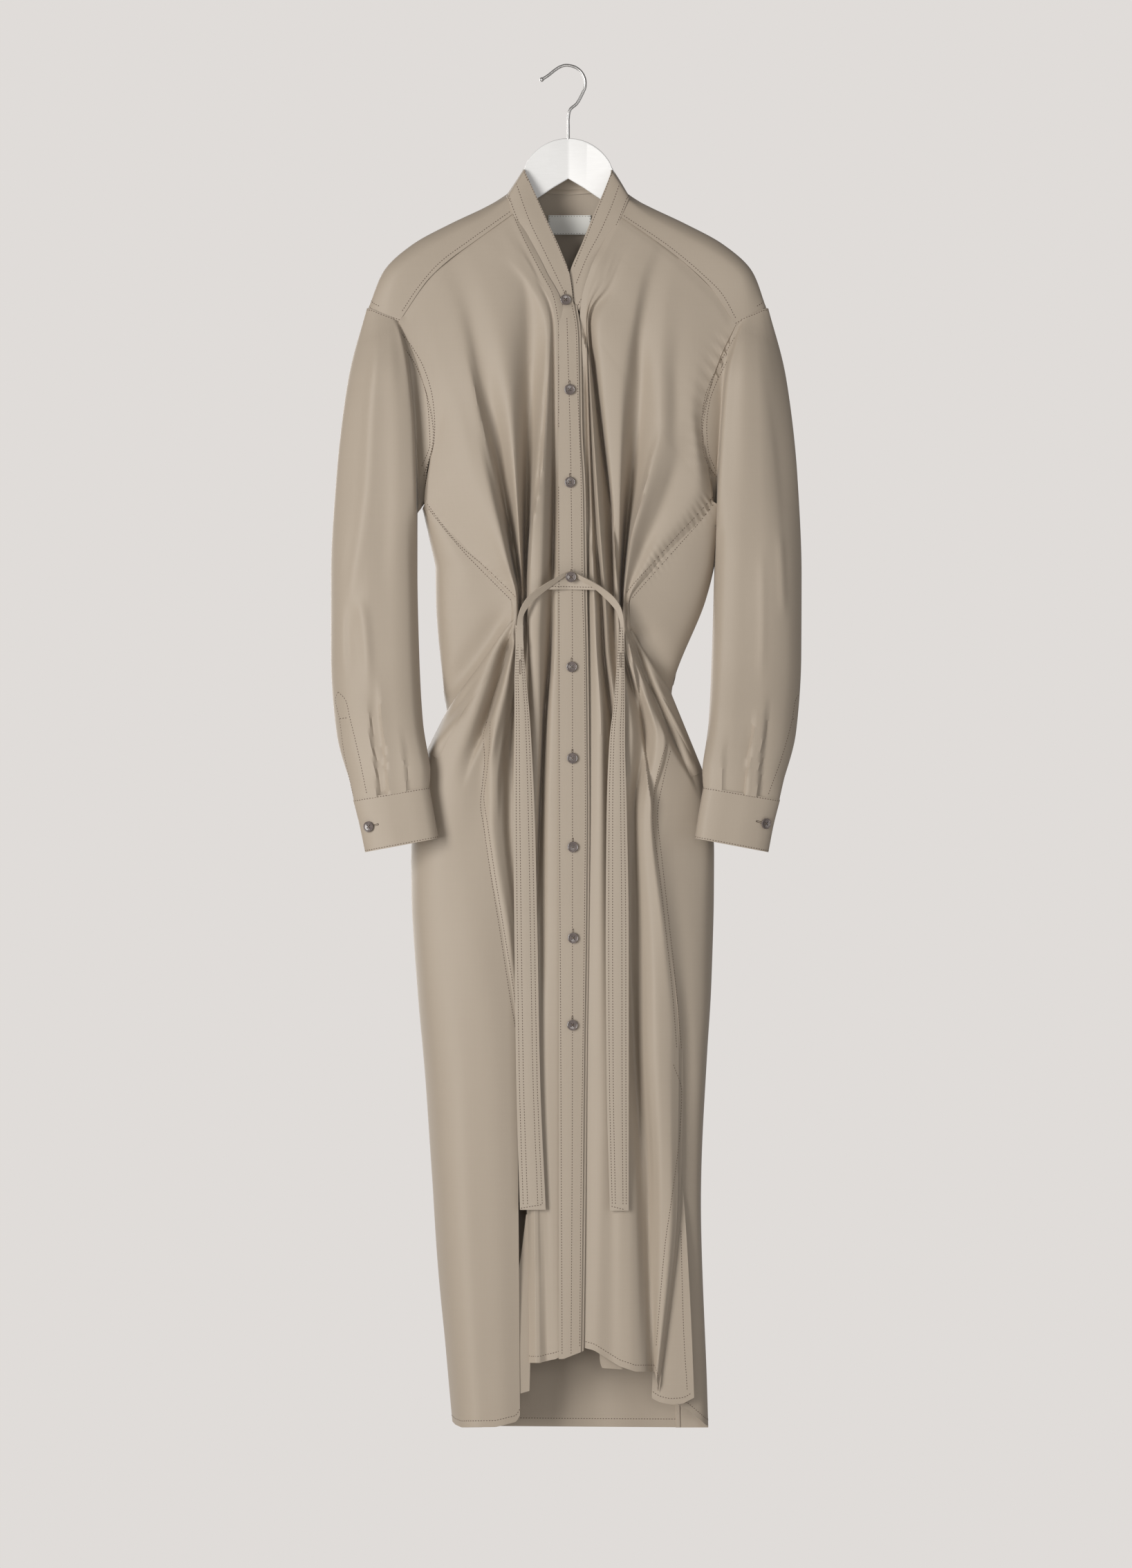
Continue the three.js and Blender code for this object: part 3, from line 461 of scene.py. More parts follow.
def touch(x, z, names):
    """Where the sight line through a point of the hanger's plane first meets one of the skins."""
    eye = Vector((AIM[0], -CAMERA_AWAY, AIM[1]))
    toward = (Vector((x, 0, z)) - eye).normalized()
    best = None
    for name in names:
        place, normal, _, distance = skins[name].ray_cast(eye, toward)
        if place and (best is None or distance < best[2]):
            best = (place, normal if normal.dot(toward) < 0 else -normal, distance)
    return best


# Folds: lines traced in pixels, along which a sheet rises or sinks

LINE_STEP = 9.0


def traced(line, step=LINE_STEP):
    """A smooth line in mm through points given in pixels."""
    return smooth_rows(np.array([photo_point(*p) for p in line]), step)


def along_line(sheet, line):
    """For each point: its distance from a line, positive to the viewer's left where the line is walked
    down, how many mm along the line it is, and that as a share of the whole."""
    x, z = sheet[..., 0], sheet[..., 2]
    corners = traced(line)
    spans = np.diff(corners, axis=0)
    lengths = np.hypot(*spans.T)
    walked = np.concatenate([[0], np.cumsum(lengths)])
    nearest = np.full(x.shape, 1e9)
    signed, place = np.zeros(x.shape), np.zeros(x.shape)
    for i, (dx, dz) in enumerate(spans):
        t = np.clip(((x - corners[i, 0]) * dx + (z - corners[i, 1]) * dz) / lengths[i] ** 2, 0, 1)
        ex, ez = x - corners[i, 0] - t * dx, z - corners[i, 1] - t * dz
        distance = np.hypot(ex, ez)
        closer = distance < nearest
        nearest = np.where(closer, distance, nearest)
        signed = np.where(closer, np.sign(ex * dz - ez * dx) * distance, signed)
        place = np.where(closer, walked[i] + t * lengths[i], place)
    return signed, place, place / walked[-1]


def ease(t):
    t = np.clip(t, 0, 1)
    return t * t * (3 - 2 * t)


def fading(share, start, end):
    """1 along a line, easing to 0 over its first and last parts."""
    strength = np.ones_like(share)
    if start:
        strength *= ease(share / start)
    if end:
        strength *= ease((1 - share) / end)
    return strength


def crease(sheet, line, height, left, right, start, end=0.0, sharp=1.4, where=1.0):
    """A fold with its edge on a line. The cloth stands proud to the left of it and sinks to the right,
    height mm apart, and settles over left and right mm. A negative height turns it round."""
    signed, _, share = along_line(sheet, line)
    settle = np.exp(-np.abs(signed) / np.where(signed > 0, left, right))
    sheet[..., 1] -= height / 2 * np.tanh(signed / sharp) * settle * fading(share, start, end) * where


def swell(sheet, line, height, left, right=None, start=0.2, end=0.2, where=1.0):
    """A soft ridge along a line, or a valley where height is negative."""
    signed, _, share = along_line(sheet, line)
    reach = np.where(signed > 0, left, right or left)
    sheet[..., 1] -= height * np.exp(-((signed / reach) ** 2)) * fading(share, start, end) * where


def pucker(sheet, line, height, pitch, left, right, start=0.1, end=0.1):
    """Small gathers across a seam, of uneven length."""
    signed, walked, share = along_line(sheet, line)
    uneven = walked + 0.25 * pitch * np.sin(walked / (2.3 * pitch)) + 0.35 * signed
    wave = np.sin(2 * math.pi * uneven / pitch)
    long_wave = 0.65 + 0.35 * np.sin(walked / (1.7 * pitch))
    settle = np.exp(-((signed / np.where(signed > 0, left, right)) ** 2)) * long_wave
    sheet[..., 1] -= height * wave * settle * fading(share, start, end)


def fold_all(sheet, folds, where=1.0):
    """Each fold: its kind, its height with its reach to the left and right, how it fades, and its line."""
    for kind, sizes, settings, line in folds:
        kind(sheet, line, *sizes, **settings, where=where)


def dent(sheet, spot, depth, radius):
    x, z = photo_point(*spot)
    distance = np.hypot(sheet[..., 0] - x, sheet[..., 2] - z)
    sheet[..., 1] += depth * np.exp(-((distance / radius) ** 2))


EDGE_KEPT = 4  # columns


def evened(sheet, reach, along, only_out=False):
    """Smooths shallow ridges away over reach samples across and along samples down. The edges stay."""
    made = sheet.copy()
    for axis, amount in ((1, reach), (0, along)):
        n = min(int(amount * 3), made.shape[axis] - 1)
        weights = np.exp(-0.5 * (np.arange(-n, n + 1) / amount) ** 2)
        weights /= weights.sum()
        pads = [(n, n) if i == axis else (0, 0) for i in range(3)]
        wide = np.pad(made, pads, mode="reflect", reflect_type="odd")
        count = made.shape[axis]
        soft = sum(w * np.take(wide, range(i, i + count), axis=axis) for i, w in enumerate(weights))
        columns = np.arange(made.shape[1])
        from_edge = np.minimum(columns, columns[::-1])
        kept = np.exp(-(from_edge / EDGE_KEPT) ** 2)[None, :, None] if axis == 0 else 0
        made = soft * (1 - kept) + made * kept
    if only_out:
        return np.stack([sheet[..., 0], made[..., 1], sheet[..., 2]], axis=-1)
    return made


def outline_to(sheet, shifts):
    """Moves the outer edge across by the shifts asked at some heights, both in pixels, and less towards
    the middle."""
    table = np.array(shifts, float)
    height = PHOTO_ZERO[1] - sheet[..., 2] / PIXEL
    move = np.interp(height, table[:, 0], table[:, 1]) * PIXEL
    far = np.abs(sheet[..., 0])
    outermost, columns = far.argmax(axis=1)[:, None], np.arange(far.shape[1])
    seam = np.where(columns <= outermost, far[:, :1], far[:, -1:])
    sheet[..., 0] += move * ease((far - seam) / (far.max(axis=1, keepdims=True) - seam))


def hem_to(sheet, line, reach=60.0, where=1.0):
    """Lowers or raises the hem to a line traced in pixels, settling over reach mm above it."""
    goal = np.array([photo_point(*p) for p in line])
    goal = goal[goal[:, 0].argsort()]
    last = sheet[-1]
    move = np.interp(last[:, 0], goal[:, 0], goal[:, 1]) - last[:, 2]
    above = sheet[..., 2] - last[:, 2]
    sheet[..., 2] += move * ease(1 - above / reach) * where


UNDER_BEND = (0.25, 0.8)  # where a sheet that runs under turns: shares of its reach and of its drop


def run_under(sheet, edge, reach, drop, side=1, closed=False):
    """Carries a sheet on past one edge, reach mm further and drop mm in, under its neighbour."""
    inward = sheet_normals(sheet, closed) * side
    if edge == "left":
        end, inner, way = sheet[:, 0], sheet[:, 2], inward[:, 0]
    elif edge == "right":
        end, inner, way = sheet[:, -1], sheet[:, -3], inward[:, -1]
    else:
        end, inner, way = sheet[0], sheet[2], inward[0]
    outward = (end - inner) / np.maximum(np.linalg.norm(end - inner, axis=-1, keepdims=True), 1e-6)
    extra = end + outward * reach + way * drop
    middle = end + outward * reach * UNDER_BEND[0] + way * drop * UNDER_BEND[1]
    if edge == "left":
        return np.concatenate([extra[:, None], middle[:, None], sheet], axis=1)
    if edge == "right":
        return np.concatenate([sheet, middle[:, None], extra[:, None]], axis=1)
    return np.concatenate([extra[None], middle[None], sheet])


# The fronts. Each row: z at the first and last point (or at every point), how far the line bows up, then
# x and how far out each point stands.

LEFT_FRONT = [
    ((-276, -243, -219.5, -209.5, -195, -184.5, -177.5, -172, -167.7, -163.4, -159), 0,
     (-182, -160, -140, -128, -108, -94, -84, -76, -70, -64, -58),
     (14, 16, 17, 17, 18, 18, 18, 18, 18, 18, 18)),
    ((-323, -185), 9, (-162, -142, -122, -110, -92, -72, -64, -59, -55, -51, -47),
     (18, 23, 25, 23.5, 25.5, 25, 25, 25, 24.5, 24, 24)),
    ((-397, -221), 5, (-144, -126, -105, -95, -74, -46, -40, -37, -34, -32, -29),
     (20, 28, 33, 27, 33, 28, 30.5, 30, 29, 28, 28)),
    ((-469, -275), 0, (-152, -122, -95, -83, -64, -41, -22, -18, -15, -13, -9),
     (18, 31, 37, 25, 37, 23, 34, 33, 29, 31, 31)),
    ((-544, -455), 0, (-88, -77, -67, -60, -52, -44, -36, -26, -15, -12, -9),
     (33, 38, 44, 14, 42, 12, 43, 42, 26, 34, 35)),
    ((-584, -584), 0, (-60, -57, -54, -51, -48, -45, -41, -30, -17, -13, -9),
     (37, 40, 42, 27, 41, 25, 43, 45, 27, 37, 38)),
    ((-626, -632), 0, (-63, -60, -57, -53, -49, -45, -40, -31, -19, -15, -9),
     (38, 43, 40, 27, 40, 30, 43, 45, 27, 38, 40)),
    ((-722, -721), 0, (-88, -80, -70, -61, -52, -44, -35, -29, -24, -18, -9),
     (38, 45, 38, 27, 35, 39, 44, 43, 27, 40, 42)),
    ((-812, -812), 0, (-90, -81, -71, -62, -53, -44, -37, -32, -27, -20, -9),
     (42, 47, 42, 33, 37, 41, 45, 44, 31, 42, 44)),
    ((-945, -945), 0, (-69, -63, -57, -51, -46, -41, -37, -33, -29, -20, -9),
     (45, 46, 42, 38, 39, 41, 43, 42, 37, 44, 46)),
    ((-1045, -1045), 0, (-55, -52, -49, -46, -43, -40, -37, -33, -28, -20, -9),
     (44, 44, 43, 42, 42, 43, 43, 43, 43, 45, 46)),
    ((-1243, -1243), 0, (-43, -41, -39, -37, -35, -32, -29, -26, -22, -16, -9),
     (36, 40, 43, 45, 47, 47, 46, 46, 46, 47, 47)),
    ((-1403, -1405, -1406, -1406, -1406, -1406, -1405, -1404, -1403, -1402, -1400), 0,
     (-45, -42, -39, -36, -33, -30, -26, -22, -18, -13, -7), (38, 42, 45, 48, 50, 50, 48, 46, 47, 48, 49)),
]
RIGHT_FRONT = [
    ((-163, -165, -167, -169.5, -172.5, -176, -180, -187.5, -197, -210.5, -227, -248, -280), 0,
     (59, 62, 65, 69, 73, 78, 84, 95, 108, 125, 143, 163, 183),
     (18, 18, 18, 18, 18, 18, 18, 18, 17, 17, 17, 16, 14)),
    ((-193, -321), 8, (44, 47, 50, 53, 56, 60, 66, 80, 92, 110, 128, 147, 164),
     (24, 24, 24, 24, 24, 24, 25, 26, 22, 25, 24, 22, 18)),
    ((-220, -389), 4, (31, 34, 37, 40, 43, 46, 52, 70, 82, 104, 120, 135, 147),
     (28, 28, 28, 28, 28, 27, 30, 33, 25, 32, 27, 28, 20)),
    ((-275, -469), 0, (20, 20.6, 21.2, 21.8, 22.4, 24, 34, 60, 78, 103, 121, 141, 157),
     (28, 28, 30, 28, 31, 23, 36, 38, 24, 37, 30, 31, 18)),
    ((-460, -539), 0, (20, 23, 26, 29, 34, 47, 51, 57, 64, 70, 82, 91, 97.5),
     (29, 29, 35, 24, 40, 13, 42, 42, 13, 44, 33, 38, 34)),
    ((-584, -584), 0, (20, 23, 30, 37, 42, 50, 53, 56, 59, 62, 64, 66, 68),
     (31, 32, 40, 26, 42, 25, 41, 42, 27, 42, 39, 40, 37)),
    ((-632, -630), 0, (20, 24, 32, 39, 44, 52, 55, 58, 61, 64, 67, 70, 73),
     (34, 35, 43, 24, 42, 29, 42, 41, 28, 42, 38, 42, 39)),
    ((-721, -730), 0, (20, 25, 37, 48, 53, 58, 63, 70, 82, 90, 98, 105, 110),
     (37, 38, 45, 27, 40, 43, 44, 44, 28, 38, 46, 46, 41)),
    ((-812, -812), 0, (20, 25, 37, 48, 53, 58, 63, 68, 73, 79, 85, 90, 94),
     (40, 41, 47, 35, 42, 44, 42, 36, 34, 43, 47, 48, 44)),
    ((-945, -945), 0, (19, 24, 36, 47, 53, 59, 64, 69, 76, 85, 94, 103, 111),
     (43, 44, 48, 42, 45, 44, 38, 33, 37, 46, 50, 50, 45)),
    ((-1065, -1065), 0, (18, 24, 36, 47, 54, 61, 67, 73, 80, 89, 99, 111, 122),
     (44, 45, 48, 46, 47, 44, 36, 32, 39, 48, 52, 50, 43)),
    ((-1230, -1230), 0, (17, 24, 36, 48, 58, 67, 75, 82, 88, 95, 103, 112, 120),
     (45, 46, 50, 49, 51, 50, 46, 36, 33, 41, 48, 49, 43)),
    ((-1393, -1394, -1398, -1406, -1412, -1416, -1417, -1416, -1418, -1422, -1428, -1431, -1434), 0,
     (14, 20, 33, 47, 58, 68, 78, 86, 90, 93, 95, 97, 99),
     (46, 47, 51, 50, 52, 53, 51, 46, 38, 35, 38, 41, 38)),
]


def front_nodes(rows):
    net = []
    for heights, bow, xs, outs in rows:
        made = []
        for i, (x, out) in enumerate(zip(xs, outs)):
            t = (x - xs[0]) / (xs[-1] - xs[0])
            if len(heights) == len(xs):
                z = heights[i]
            else:
                z = heights[0] + (heights[1] - heights[0]) * t + bow * 4 * t * (1 - t)
            made.append((x, -out, z))
        net.append(made)
    return net


LEFT_NODES, RIGHT_NODES = front_nodes(LEFT_FRONT), front_nodes(RIGHT_FRONT)


def tucked(net, column, dx, depth):
    """Adds a column that carries a sheet on under its neighbour."""
    edge = [row[column] for row in net]
    extra = [(x + dx, y + depth, z) for x, y, z in edge]
    return [[e, *row] if column == 0 else [*row, e] for e, row in zip(extra, net)]


FRONT_SPACING = (1.8, 3.2)  # mm between a sheet's points, across and down
FRONT_EVENED = (0.8, 3)
UNDER_REACH = 6  # how far the edge of a sheet runs on under its neighbour, and how much deeper it lies
UNDER_DROP = 1.6
RIGHT_FRONT_HEM = [
    (841.8, 1949), (859, 1953.5), (877.4, 1965), (896, 1976.6), (919, 1984.4), (946.7, 1984.4),
    (953, 2010),
]
left_front = refine(tucked(LEFT_NODES, -1, UNDER_REACH, UNDER_DROP), *FRONT_SPACING)
left_front = evened(left_front, *FRONT_EVENED, only_out=True)
right_front = refine(tucked(RIGHT_NODES, 0, -UNDER_REACH, UNDER_DROP), *FRONT_SPACING)
right_front = evened(right_front, *FRONT_EVENED, only_out=True)
hem_to(right_front, RIGHT_FRONT_HEM)

# Above the belt, the fronts are drawn in to its two ends. Below it they fall in long folds from there.
LEFT_TIE, RIGHT_TIE = (755, 876), (899, 874)
TIE_DEPTH, TIE_RADIUS = 6, 9
PLACKET_CHEST_VALLEY = [(808, 560), (806, 640), (803, 730), (800, 830), (800, 850)]
LEFT_SKIRT_FOLD = [(801, 850), (796, 962), (788, 1044), (782, 1179), (777, 1300), (775, 1420)]
RIGHT_SKIRT_FOLD = [(867, 855), (872, 920), (876, 985), (884, 1053), (888, 1180)]
LEFT_FRONT_FOLDS = [
    (crease, (10, 16, 13), {"start": 0.5, "sharp": 1.1},
     [(671, 490), (703, 624), (722, 707), (745, 803), (756, 873)]),
    (crease, (-9, 12, 9), {"start": 0.5, "sharp": 1.0},
     [(794, 484), (788, 600), (780, 691), (764, 787), (757, 866)]),
    (swell, (-2.5, 9, 11), {"start": 0.3, "end": 0},
     [(757, 346), (765, 411), (767, 500), (764, 600), (762, 707), (757, 866)]),
    (swell, (-9, 4, 4), {"start": 0.6, "end": 0.1}, [(690, 600), (712, 690), (735, 780), (752, 850)]),
    (swell, (-9, 4.5, 6), {"start": 0.6, "end": 0.1}, PLACKET_CHEST_VALLEY),
    (swell, (2, 16, 10), {"start": 0.4, "end": 0.1}, [(640, 520), (672, 640), (700, 740), (738, 840)]),
    (crease, (-7, 10, 7), {"start": 0.05, "end": 0.3}, LEFT_SKIRT_FOLD),
    (swell, (-9, 2.8, 2.2), {"end": 0.3}, LEFT_SKIRT_FOLD),
    (swell, (1.5, 8), {"start": 0.3, "end": 0.1}, [(765, 1500), (768, 1700), (770, 1850)]),
]
RIGHT_FRONT_FOLDS = [
    (crease, (9, 8, 14), {"start": 0.15, "sharp": 1.1},
     [(836, 452), (855, 532), (868, 637), (884, 739), (897, 866)]),
    (swell, (-3.5, 2.4, 3.4), {"start": 0.2, "end": 0}, [(847, 500), (850, 600), (853, 739), (868, 844)]),
    (swell, (-2.5, 9), {"start": 0.3, "end": 0},
     [(916, 439), (925, 548), (922, 643), (909, 771), (900, 850)]),
    (crease, (-9, 9, 16), {"start": 0.35, "sharp": 1.1},
     [(962, 608), (944, 650), (925, 726), (909, 787), (900, 863)]),
    (swell, (1.2, 9, 9), {"start": 0.4, "end": 0.3}, [(1000, 560), (965, 690), (935, 790)]),
    (swell, (-1.4, 5, 7), {"start": 0.3, "end": 0.2}, [(985, 650), (950, 750), (920, 820)]),
    (crease, (5, 5, 9), {"start": 0.05, "end": 0.4}, RIGHT_SKIRT_FOLD),
    (swell, (-2.5, 1.8, 2.2), {"end": 0.4}, RIGHT_SKIRT_FOLD[:-1]),
    (swell, (-3, 11), {"start": 0.3, "end": 0.4}, [(924, 1180), (930, 1350), (922, 1550), (918, 1740)]),
    (swell, (1.6, 10), {"start": 0.3, "end": 0.3}, [(880, 1200), (880, 1500), (876, 1760)]),
]
fold_all(left_front, LEFT_FRONT_FOLDS)
fold_all(right_front, RIGHT_FRONT_FOLDS)
for sheet in (left_front, right_front):
    for tie in (LEFT_TIE, RIGHT_TIE):
        dent(sheet, tie, TIE_DEPTH, TIE_RADIUS)


# The sides: the row of the front that each meets, its outermost point, how far forward three lines between
# them stand, where it ends on the back, and for the slit its own free edge.
LEFT_SIDE = [
    (3, (-157, -480), (17, 15, 9), -138, None),
    (4, (-148, -587), (31, 26, 17), -120, None),
    (5, (-132, -706), (31, 24, 14), -102, None),
    (6, (-158, -780), (42, 38, 26), -112, None),
    (7, (-166, -858), (44, 39, 25), -120, None),
    (8, (-166, -900), (43, 40, 27), -124, None),
    (9, (-160, -1005), (49, 45, 31), -122, None),
    (10, (-153, -1090), (50, 48, 32), -118, None),
    (11, (-140, -1290), (50, 50, 33), -106, (-52.5, -1243, 45)),
    (12, (-122, -1455), (50, 50, 33), -92, (-51, -1462, 45)),
]
RIGHT_SIDE = [
    (3, (158, -480), (17, 15, 9), 138, None),
    (4, (148, -570), (32, 27, 17), 122, None),
    (5, (114, -684), (32, 25, 14), 98, None),
    (6, (148, -772), (40, 34, 22), 110, None),
    (7, (157, -850), (34, 29, 20), 118, None),
    (8, (157, -900), (36, 30, 21), 120, None),
    (9, (154, -1000), (36, 31, 21), 118, None),
    (10, (149, -1080), (33, 29, 20), 115, None),
    (11, (143, -1230), (29, 25, 18), 112, (122, -1230, 32)),
    (12, (152, -1462), (26, 22, 15), 118, (112, -1456, 28)),
]
FOLD_PLACES = (0.3, 0.6, 0.88)
BACK_OUT = 24
WRAP_PLACE, WRAP_OUT = 0.35, 0.8  # shares of the way round to the back, across and in depth


def side_nodes(rows, front, seam_column):
    net = []
    for row, edge, folds, wrap, slit in rows:
        start = (slit[0], -slit[2], slit[1]) if slit else front[row][seam_column]
        x, z = edge
        made = [start]
        for t, out in zip(FOLD_PLACES, folds):
            made.append((start[0] + (x - start[0]) * t, -out, start[2] + (z - start[2]) * t))
        turned = (x + (wrap - x) * WRAP_PLACE, BACK_OUT * WRAP_OUT, z)
        made += [(x, 0, z), turned, (wrap, BACK_OUT, z)]
        net.append(made)
    return net


SIDE_SPACING = (2.4, 3.2)
SIDE_EVENED = (2.6, 3)
# How far the sides' outlines are moved at some heights, both in pixels
LEFT_OUTLINE = [
    (734, 0), (820, 12), (870, 8), (925, 4), (1000, 0), (1029, 2), (1045, -5), (1060, -10), (1081, -13),
    (1106, -11), (1160, -7), (1260, -5), (1720, -1.6), (2044, -4),
]
RIGHT_OUTLINE = [
    (734, 14), (820, 12), (862, 8), (925, 4), (1003, -1), (1040, 2), (1222, 5), (1720, 4), (2044, 3),
]
LEFT_HEM = [
    (600, 2030), (645, 2040), (652, 2054), (658.7, 2061), (667.5, 2065), (717, 2064.5), (746.7, 2057),
    (752.5, 2047),
]
RIGHT_HEM = [(962, 2024), (981, 2032), (996, 2040), (1022, 2062), (1040, 2065)]
RIGHT_HEM_BEHIND = [(960, 2065), (1060, 2065)]
left_side = evened(refine(side_nodes(LEFT_SIDE, LEFT_NODES, 0), *SIDE_SPACING), *SIDE_EVENED)
right_side = evened(refine(side_nodes(RIGHT_SIDE, RIGHT_NODES, -1), *SIDE_SPACING), *SIDE_EVENED)
outline_to(left_side, LEFT_OUTLINE)
outline_to(right_side, RIGHT_OUTLINE)
hem_to(left_side, LEFT_HEM, 90)
behind = right_side[..., 1] > 0
hem_to(right_side, RIGHT_HEM, where=~behind)
hem_to(right_side, RIGHT_HEM_BEHIND, where=behind)

# The skirt's sides are pulled up over the bodice to the belt's ends, and lie over it with a crisp edge.
LEFT_PULL = [
    (754, 883), (730, 912), (706, 947), (688, 972), (675, 989), (647, 1030), (617, 1089), (608, 1106),
]
LEFT_VALLEY = [
    (743, 918), (734, 940), (727, 966), (720, 995), (710, 1025), (697, 1060), (680, 1100), (664, 1150),
]
LEFT_WEDGE = [(752, 915), (748, 947), (744, 990), (737, 1033), (729, 1072), (722, 1140), (722, 1200)]
LEFT_TUBE = [(748, 915), (742, 950), (735, 990), (725, 1030), (713, 1075), (703, 1120), (700, 1170)]
LEFT_BESIDE_PULL = [(x - 8, y - 10) for x, y in LEFT_PULL]
RIGHT_PULL = [(901, 888), (931, 943), (951, 973), (970, 1003), (990, 1051), (1017, 1117), (1026, 1140)]
RIGHT_VALLEY = [
    (907, 905), (920, 938), (935, 980), (950, 1020), (966, 1056), (985, 1092), (1005, 1130), (1016, 1160),
]
RIGHT_WEDGE = [(908, 905), (911, 929), (921, 982), (929, 1055), (936, 1110), (947, 1185), (951, 1250)]
RIGHT_TUBE = [(906, 912), (915, 950), (926, 985), (938, 1022), (949, 1055), (956, 1080)]
RIGHT_BESIDE_PULL = [(x + 8, y - 10) for x, y in RIGHT_PULL]
LEFT_WAIST_FOLDS = [
    (swell, (-5, 14, 8), {"start": 0.2, "end": 0.1}, LEFT_BESIDE_PULL),
    (swell, (-15, 9, 3.2), {"start": 0.1, "end": 0.6}, LEFT_VALLEY),
    (swell, (4, 4.5, 5), {"start": 0.15, "end": 0.5}, LEFT_TUBE),
    (crease, (10, 7, 20), {"start": 0.1, "end": 0.5}, LEFT_WEDGE),
]
RIGHT_WAIST_FOLDS = [
    (swell, (-5, 8, 14), {"start": 0.2, "end": 0.1}, RIGHT_BESIDE_PULL),
    (swell, (-14, 3.2, 9), {"start": 0.1, "end": 0.5}, RIGHT_VALLEY),
    (swell, (4, 3.6, 3.6), {"start": 0.1, "end": 0.4}, RIGHT_TUBE),
    (crease, (11, 9, 14), {"start": 0.05, "end": 0.35}, RIGHT_WEDGE),
]
SIDE_AHEAD = 4  # the folds shape only what stands less than this behind the hanger's plane
fold_all(left_side, LEFT_WAIST_FOLDS, left_side[..., 1] < SIDE_AHEAD)
fold_all(left_front, LEFT_WAIST_FOLDS)
fold_all(right_side, RIGHT_WAIST_FOLDS, right_side[..., 1] < SIDE_AHEAD)
fold_all(right_front, RIGHT_WAIST_FOLDS)

PUCKERS_LEFT = [(618, 729), (636, 754), (665, 789), (700, 819), (735, 854), (754, 873)]
PUCKERS_RIGHT = [(1034, 720), (1011, 748), (979, 783), (948, 819), (922, 847), (900, 872)]
PUCKERS_ARM = [(1063, 478), (1045, 520), (1028, 556), (1019, 590), (1017, 624), (1021, 660), (1036, 690)]
for sheet in (left_front, left_side):
    pucker(sheet, PUCKERS_LEFT, height=0.35, pitch=8, left=7, right=5)
for sheet in (right_front, right_side):
    pucker(sheet, PUCKERS_RIGHT, height=1.0, pitch=7.5, left=10, right=8, start=0.02, end=0.5)
pucker(right_front, PUCKERS_ARM, height=1.1, pitch=13, left=15, right=8, start=0.1, end=0.05)

SUNK_ROWS = (0.9, 0.7, 0.2)  # mm, in the fronts' first rows: the yoke's edge lies over them
TOP_REACH, TOP_DROP = 4, 1
for name, sheet, edge in (("front_left", left_front, "left"), ("front_right", right_front, "right")):
    for row, sunk in enumerate(SUNK_ROWS):
        sheet[row, 2:-2, 1] += sunk
    sheet = run_under(sheet, edge, UNDER_REACH, UNDER_DROP)
    make_cloth(name, run_under(sheet, "top", TOP_REACH, TOP_DROP))
make_cloth("side_left", left_side, side=-1)
make_cloth("side_right", right_side)

# The back, from armhole to armhole and then between the two sides.
BACK_TOP = -250
BACK_PLACES = (0, 0.14, 0.28, 0.4, 0.5, 0.6, 0.72, 0.86, 1)
BACK_FOLDS = (0, 1.5, -1.2, 1.4, -1.5, 1.4, -1.2, 1.5, 0)
back_edges = [
    ((-184, 15, BACK_TOP), (186, 15, BACK_TOP)),
    ((-162, 19, -320), (162, 19, -320)),
    ((-145, 21, -397), (146, 21, -397)),
] + [((a[3], BACK_OUT, a[1][1]), (b[3], BACK_OUT, b[1][1])) for a, b in zip(LEFT_SIDE, RIGHT_SIDE)]


def back_nodes():
    net = []
    for r, (left, right) in enumerate(back_edges):
        depth = min(1, r / 4)  # the folds begin below the yoke
        row = []
        for t, lift in zip(BACK_PLACES, BACK_FOLDS):
            rounding = (BACK_OUT + 2 - left[1]) * math.sin(math.pi * t)
            y = left[1] + (right[1] - left[1]) * t + rounding + lift * depth
            row.append((left[0] + (right[0] - left[0]) * t, y, left[2] + (right[2] - left[2]) * t))
        net.append(row)
    return net


BACK_HEM = [(600, 2062), (747, 2063), (1024, 2065)]
BACK_REACH = 5
back = evened(refine(back_nodes(), 4, 5), 3, 3)
hem_to(back, BACK_HEM, 80)
tucked_back = back
for edge in ("left", "right", "top"):
    tucked_back = run_under(tucked_back, edge, BACK_REACH, UNDER_DROP, -1)
make_cloth("back", tucked_back, side=-1)

